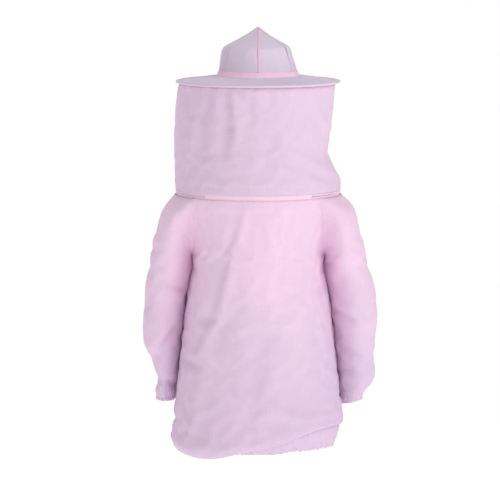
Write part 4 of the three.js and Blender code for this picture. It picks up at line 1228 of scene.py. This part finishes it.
class JACKET_OT_hat(bpy.types.Operator):
    """Makes the crown's six gores with taped seams, the band at its foot, and the brim with its bound edge"""

    bl_idname = "jacket.hat"
    bl_label = "Hat"

    def execute(self, context):
        for i in range(6):
            self.gore(i)
        self.band()
        for name, lift, node_name in BRIM_LAYERS:
            self.brim_layer(name, lift, node_name)
        self.bound_edge()
        self.sweatband()
        return {"FINISHED"}

    def gore(self, i):
        start = math.pi / 2 + i * GORE
        line = crown_line(i)
        inside = np.clip(np.linspace(start, start + GORE, 25), start + 1e-6, start + GORE - 1e-6)
        rows = [crown_point(inside, height, max(share, 0.004), i) for share, _, height in line]
        cloth_piece(f"crown_gore_cloth_{i + 1}", np.stack(rows), "shaded_hat_cotton", "hood",
                    [f"crown_gore_{i + 1}"], edges="lrb", outward=(0, 0, 300))
        # The seam's tape lies to one side of it, 8 mm wide.
        rows = []
        for share, _, height in line[1:]:
            reach = min(8.5, 60 * share)
            turn = np.array([-1.2, -0.6, 1.2, 4.0, reach - 1.6, reach - 0.4]) / (106 * max(share, 0.05))
            place = crown_point(start + turn, height, share, i)
            out = unit(place - np.array([0, 0, 330]))
            rows.append(place + out * np.array([0.2, 1.3, 1.6, 1.5, 1.3, 0.2])[:, None])
        cloth_piece(f"crown_seam_tape_{i + 1}", np.stack(rows), "shaded_hat_cotton" if i else "cotton",
                    "hood", (), edges="lr",
                    thickness=0.0005, outward=(0, 0, 300))

    def band(self):
        angles = np.linspace(0, 2 * math.pi, 181)
        flat = across_gore(angles)[1]
        rows = []
        for height, out in BAND_SECTION:
            if height > 0:
                out = out + 0.35 * ripple(angles * 106, 17, 4.0)
            wide, deep = (half * crown_share(height) * flat + out for half in CROWN)
            rows.append(oval(wide, deep, angles, CROWN_FOOT + height))
        cloth_piece("crown_base_band", closed(np.stack(rows)), "doubled_cotton", "hood",
                    (), edges="tb", thickness=0.0006, merge=True)

    def brim_layer(self, name, lift, node_name):
        angles = np.linspace(0, 2 * math.pi, 241)[None]
        share = np.linspace(0, 1, 23)[:, None]
        sewn = np.exp(-((share - 0.97) / 0.06) ** 2) + np.exp(-(share / 0.08) ** 2)
        wave = ripple(angles * 150 + 40 * share, 70, 2.0) * np.sin(math.pi * share)
        z = BRIM_HEIGHT + BRIM_RISE * (1 - share) + lift
        z = z + 0.35 * ripple(angles * BRIM_RADIUS, 15, 1.0 + lift) * sewn
        z = z + (0.25 if lift > 1 else -0.25) * wave
        points = oval(mix(HEAD[0], BRIM_RADIUS, share), mix(HEAD[1], BRIM_RADIUS, share), angles, z)
        cloth_piece(name, closed(points), "shaded_hat_cotton", "hood", [node_name],
                    edges="tb", merge=True, outward=(0, 0, 0 if lift > 1 else 600))

    def bound_edge(self):
        """Doubled cotton folded over the wire: a rounded bead with a flat lip either side"""
        angles = np.linspace(0, 2 * math.pi, 241)
        turns = np.radians(np.linspace(128, -128, 15))
        section = [(188.2, 4.4), (190.5, 4.6), (194.5, 3.9)]
        section += [(BRIM_RADIUS + 1.9 + BEAD * math.cos(t), BEAD * math.sin(t)) for t in turns]
        section += [(194.5, -3.0), (190.5, -2.6), (188.2, -2.2)]
        pull = 0.22 * ripple(angles * BRIM_RADIUS, 9, 6.0)
        middle = BRIM_HEIGHT + BRIM_STACK / 2 + 0.3 * pull
        rows = [oval(radius + pull, radius + pull, angles, middle + height) for radius, height in section]
        cloth_piece("brim_bound_edge", closed(np.stack(rows)), "shaded_hat_cotton", "hood",
                    ["brim_binding"], edges="tb", thickness=0.0006, merge=True)

    def sweatband(self):
        angles = np.linspace(0, 2 * math.pi, 181)
        rows = []
        for height, inset in SWEATBAND_SECTION:
            inset = inset + 0.3 * ripple(angles * 100, 8, 2.0)
            wide, deep = (half * crown_share(height) * 0.965 - inset for half in CROWN)
            rows.append(oval(wide, deep, angles, CROWN_FOOT + height))
        cloth_piece("sweatband_elastic", closed(np.stack(rows)), "knitted_elastic", "hood",
                    ["sweatband"], thickness=0.0014, merge=True)


# ---- Zips ----
def polar_grid(radius, degrees, heights):
    """A strip round the neck ring, as rows of points from the first height to the last."""
    angle = np.radians(np.asarray(degrees, float))[None]
    heights = np.asarray(heights, float)[:, None]
    radius = radius + 0 * angle + 0 * heights
    return oval(radius, radius, angle, heights)


def on_front(x, depth, along_zip):
    """A point on the front zip's leaning plane, in millimetres: sideways, in behind it, and up along it."""
    c, s = math.cos(FRONT_TILT), math.sin(FRONT_TILT)
    x, depth, along_zip = np.broadcast_arrays(x, depth, along_zip)
    return np.stack([x, depth * c - along_zip * s - NECK_RADIUS, depth * s + along_zip * c], axis=-1)


def tooth():
    """One moulded tooth: a block with rounded edges, wider at the head than where it grips the tape."""
    bm = bmesh.new()
    bmesh.ops.create_cube(bm, size=1.0)
    bmesh.ops.scale(bm, vec=(1.5 * MM, 2.2 * MM, 2.95 * MM), verts=bm.verts)
    grip = [v for v in bm.verts if v.co.z < 0]
    bmesh.ops.scale(bm, vec=(0.72, 0.8, 1.0), verts=grip)
    bmesh.ops.bevel(bm, geom=bm.edges, offset=0.32 * MM, offset_type="OFFSET", segments=1, profile=0.5,
                    affect="EDGES", material=-1)
    mesh = bpy.data.meshes.new("tooth")
    bm.to_mesh(mesh)
    bm.free()
    return mesh


def tooth_row(name, places, body, cad_node):
    """A row of teeth. Each place is its middle, the way along the row and the way to the facing row."""
    one = tooth()
    bm = bmesh.new()
    for middle, forward, toward in places:
        forward, toward = Vector(forward).normalized(), Vector(toward).normalized()
        matrix = Matrix((forward, toward.cross(forward), toward)).transposed().to_4x4()
        matrix.translation = Vector(middle) * MM
        count = len(bm.verts)
        bm.from_mesh(one)
        bm.verts.ensure_lookup_table()
        bmesh.ops.transform(bm, matrix=matrix, verts=bm.verts[count:])
    bpy.data.meshes.remove(one)
    piece = linked(name, bm)
    dress(piece, "moulded_acetal")
    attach(piece, body)
    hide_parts(cad_node)


TAPE = np.linspace(0.45, 16.4, 6)  # across a tape, from the zip's middle
TAPE_RADIUS = 201.9
TEETH_OFFSET = 1.92  # from the zip's middle to a tooth's
METAL = ["front_slider", "front_pull", "front_zip_stop"]
METAL += [f"neck_{part}_{side}" for part in ("slider", "pull") for side, _ in SIDES]


class JACKET_OT_zips(bpy.types.Operator):
    """Makes the neck zips and the front zip: woven tapes, rows of teeth, and their metal sliders and pulls"""

    bl_idname = "jacket.zips"
    bl_label = "Zips"

    def execute(self, context):
        pitch = context.scene.jacket_sizes.tooth_pitch / MM
        for side, sign in SIDES:
            for level, up, body in (("upper", 1, "hood"), ("lower", -1, "jacket")):
                self.neck(f"{level}_{side}", sign, up, body, pitch)
            self.front(side, sign, pitch)
        for name in METAL:
            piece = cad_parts[name]
            weld = piece.modifiers.new("Weld", "WELD")
            weld.merge_threshold = 1e-5
            rounded = piece.modifiers.new("Bevel", "BEVEL")
            rounded.width, rounded.segments, rounded.limit_method = 0.00028, 2, "ANGLE"
            rounded.angle_limit = math.radians(35)
            dress(piece, "nickel_plated_zinc")
        return {"FINISHED"}

    def tape(self, name, points, body, cad_node):
        cloth_piece(name, points, "zip_tape", body, [cad_node],
                    thickness=0.0008, levels=0)

    def neck(self, end, sign, up, body, pitch):
        """One side of a neck zip. Up is 1 on the hood's side and -1 on the jacket's."""
        degrees = -90 + sign * np.linspace(0.23, 139.7, 101)
        self.tape(f"neck_tape_cloth_{end}", polar_grid(TAPE_RADIUS, degrees, up * TAPE[::up]), body,
                  f"neck_tape_{end}")
        places = []
        for i in range(int(NECK_RADIUS * math.radians(139) / pitch)):
            past = (i + (0.5 if up > 0 else 0)) * pitch / NECK_RADIUS
            a = math.radians(-90 + sign * (0.4 + math.degrees(past)))
            x, y, r = math.cos(a), math.sin(a), TAPE_RADIUS - 0.05
            places.append(((r * x, r * y, up * TEETH_OFFSET), (-y, x, 0), (0, 0, -up)))
        tooth_row(f"neck_teeth_row_{end}", places, body, f"neck_teeth_{end}")

    def front(self, side, sign, pitch):
        rows = np.linspace(-16.8, -589, 60)[:, None]
        wave = 0.12 * np.sin(rows / 9.0 + sign)
        self.tape(f"front_tape_cloth_{side}", on_front(sign * TAPE[None], 1.6 + wave, rows), "jacket",
                  f"front_tape_{side}")
        forward = on_front(0, 0, 1) - on_front(0, 0, 0)
        places = []
        for i in range(int(571 / pitch)):
            height = -17.6 - (i + (0.5 if sign > 0 else 0)) * pitch
            places.append((on_front(sign * TEETH_OFFSET, 1.15, height), forward, (-sign, 0, 0)))
        tooth_row(f"front_teeth_row_{side}", places, "jacket", f"front_teeth_{side}")


# ---- Pockets and trimmings ----
POCKET_MOUTH, POCKET_HEIGHT = 350, 165
POCKET_PLACE, POCKET_WIDTH = 98, 130
NAPE = (49.9, 130.1)  # plan angles of the sewn part of the neckline, in degrees
LOOP_LINE = [(-35, -11), (-31, -11.4), (-27, -17), (-16, -24.6), (0, -26.6), (16, -24.6), (27, -17),
             (31, -11.4), (35, -11)]


class JACKET_OT_pockets(bpy.types.Operator):
    """Makes the two patch pockets, which stand open a little at the mouth"""

    bl_idname = "jacket.pockets"
    bl_label = "Pockets"

    def execute(self, context):
        for side, sign in SIDES:
            u = np.linspace(-0.5, 0.5, 27)[None]
            t = np.linspace(1, 0, 33)[:, None]
            drop = POCKET_MOUTH + POCKET_HEIGHT * (1 - t) + 0 * u
            angle = -math.pi / 2 + sign * (POCKET_PLACE + u * POCKET_WIDTH) / along(HALF_DEPTH, drop, 8)
            ground = carried(torso_point(angle, drop), *SETTLED["front_" + side])
            belly = np.cos(math.pi * u) ** 0.7 * mix(0.12, 1, t**0.8) * ramp(t, -0.02, 0.14)
            sag = 1.1 * np.sin(7 * u + 5 * t + sign) * np.cos(math.pi * u) * ramp(t, 0.05, 0.3)
            points = raised(ground, 1.6 + 11.5 * belly + sag)
            points[..., 2] -= 2.5 * np.cos(math.pi * u) * ramp(t, 0.7, 1.0)
            cloth_piece(f"pocket_cloth_{side}", points, "cotton", "jacket", [f"pocket_{side}"],
                        edges="lrtb")
        return {"FINISHED"}


class JACKET_OT_trimmings(bpy.types.Operator):
    """Makes the doubled band round the nape, the hanging loop and the plain size label"""

    bl_idname = "jacket.trimmings"
    bl_label = "Trimmings"

    def execute(self, context):
        degrees = np.linspace(*NAPE, 90)
        heights = np.linspace(16, -16, 13)
        band = polar_grid(202.7, degrees, heights)
        band = raised(band, 0.25 * ripple(np.radians(degrees) * 203, 14, 3.0)[None] + 0 * heights[:, None])
        cloth_piece("nape_band_cloth", band, "doubled_cotton", "jacket", ["nape_seam"],
                    edges="tb")
        line = even(smooth_line([(x, 0, z) for x, z in LOOP_LINE], 2), 41)
        loop = np.stack([line + np.array([0, y, 0]) for y in np.linspace(191.7, 196.5, 4)], axis=1)
        cloth_piece("hanging_loop_tape", loop, "doubled_cotton", "jacket",
                    ["hanger_loop"], edges="lr", thickness=0.0012,
                    outward=(0, 150, 0))
        u = np.linspace(-0.5, 0.5, 13)[None]
        drop = np.linspace(31, 61, 9)[:, None]
        ground = carried(torso_point(math.pi / 2 + u * 45 / 200, drop + 0 * u), *SETTLED["back"])
        label = raised(ground, -3.6 - 0.8 * ramp(drop, 35, 61) + 0 * u)
        cloth_piece("size_label_ribbon", label, "satin_ribbon", "jacket", ["size_label"],
                    thickness=0.0004)
        for name, finish in (("brim_board", "nonwoven_board"), ("brim_wire", "nickel_plated_zinc")):
            dress(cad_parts[name], finish)
        return {"FINISHED"}


# ---- Stage ----
# Each lamp's name, place, size in metres, watts and tint.
LAMPS = (
    ("key", (-2.1, 1.8, 2.0), 1.8, 33, (1.0, 0.985, 1.0)),
    ("fill", (-0.9, 3.5, 1.0), 2.2, 12, (1.0, 0.99, 1.0)),
    ("front", (1.6, -3.4, 1.6), 2.6, 34, (1.0, 0.99, 1.0)),
)
FLOOR = -1.35
AIM = Vector((0.0198, 0, -0.1457))
CAMERA_DISTANCE, VIEW_WIDTH = 12.0, 1.235
CAMERA_LIFT = math.radians(5.8)


class JACKET_OT_stage(bpy.types.Operator):
    """Makes the plain pale floor, the soft studio light and the camera behind the jacket"""

    bl_idname = "jacket.stage"
    bl_label = "Stage"

    def execute(self, context):
        scene = context.scene
        scene.view_settings.view_transform = "Standard"
        bm = bmesh.new()
        bmesh.ops.create_grid(bm, x_segments=1, y_segments=1, size=40.0)
        bmesh.ops.translate(bm, vec=(0, 0, FLOOR), verts=bm.verts)
        floor = linked("floor", bm)
        material, tree, shader = new_material("painted_floor")
        place = node(tree, "TexCoord").outputs["Object"]
        paint = rgba(scene.jacket_colours.floor)
        # The floor glows a little like a light table, so that it stays pale.
        plain = {"Base Color": paint, "Roughness": 0.9, "Emission Color": paint, "Emission Strength": 0.45}
        finish_shader(tree, shader, plain, {}, noise(tree, place, 60.0, 3.0), 0.001, strength=0.1)
        floor.data.materials.append(material)
        world = bpy.data.worlds.new("studio")
        world.use_nodes = True
        scene.world = world
        light = world.node_tree.nodes["Background"]
        light.inputs["Color"].default_value = (1, 1, 1, 1)
        # The backdrop is brighter to the eye than the light that it sends on to the jacket.
        seen = node(world.node_tree, "LightPath").outputs["Is Camera Ray"]
        strength = node(world.node_tree, "MapRange", {"To Min": 0.55, "To Max": 1.0}, {"Value": seen})
        world.node_tree.links.new(strength.outputs[0], light.inputs["Strength"])
        for lamp in LAMPS:
            self.lamp(*lamp)
        data = bpy.data.cameras.new("camera")
        data.lens, data.sensor_width = 36 * CAMERA_DISTANCE / VIEW_WIDTH, 36
        camera = bpy.data.objects.new("camera", data)
        camera.location = AIM + Vector((0, math.cos(CAMERA_LIFT), math.sin(CAMERA_LIFT))) * CAMERA_DISTANCE
        camera.rotation_euler = (AIM - camera.location).to_track_quat("-Z", "Y").to_euler()
        context.collection.objects.link(camera)
        scene.camera = camera
        return {"FINISHED"}

    def lamp(self, name, place, size, power, tint):
        data = bpy.data.lights.new(name, "AREA")
        data.size, data.energy, data.color = size, power, tint
        lamp = bpy.data.objects.new(name, data)
        lamp.location = place
        lamp.rotation_euler = (-Vector(place)).to_track_quat("-Z", "Y").to_euler()
        bpy.context.collection.objects.link(lamp)


OPERATORS = (
    JACKET_OT_stage,
    JACKET_OT_body,
    JACKET_OT_veil,
    JACKET_OT_hat,
    JACKET_OT_zips,
    JACKET_OT_pockets,
    JACKET_OT_trimmings,
)


class JACKET_PT_panel(bpy.types.Panel):
    """Lists the jacket's pieces, sizes and colours"""

    bl_label = "Beekeeping jacket"
    bl_idname = "JACKET_PT_panel"
    bl_space_type = "VIEW_3D"
    bl_region_type = "UI"
    bl_category = "Jacket"

    def draw(self, context):
        for owner in (context.scene.jacket_sizes, context.scene.jacket_colours):
            box = self.layout.box()
            for key in owner.__annotations__:
                box.prop(owner, key)
        for operator in OPERATORS:
            self.layout.operator(operator.bl_idname)


CLASSES = (JacketSizes, JacketColours, *OPERATORS, JACKET_PT_panel)


def register():
    for cls in CLASSES:
        bpy.utils.register_class(cls)
    bpy.types.Scene.jacket_sizes = PointerProperty(type=JacketSizes)
    bpy.types.Scene.jacket_colours = PointerProperty(type=JacketColours)


def unregister():
    del bpy.types.Scene.jacket_sizes
    del bpy.types.Scene.jacket_colours
    for cls in reversed(CLASSES):
        bpy.utils.unregister_class(cls)


def main():
    register()
    bpy.ops.jacket.stage()
    bpy.ops.jacket.body()
    bpy.ops.jacket.veil()
    bpy.ops.jacket.hat()
    bpy.ops.jacket.zips()
    bpy.ops.jacket.pockets()
    bpy.ops.jacket.trimmings()


if __name__ == "__main__":
    main()
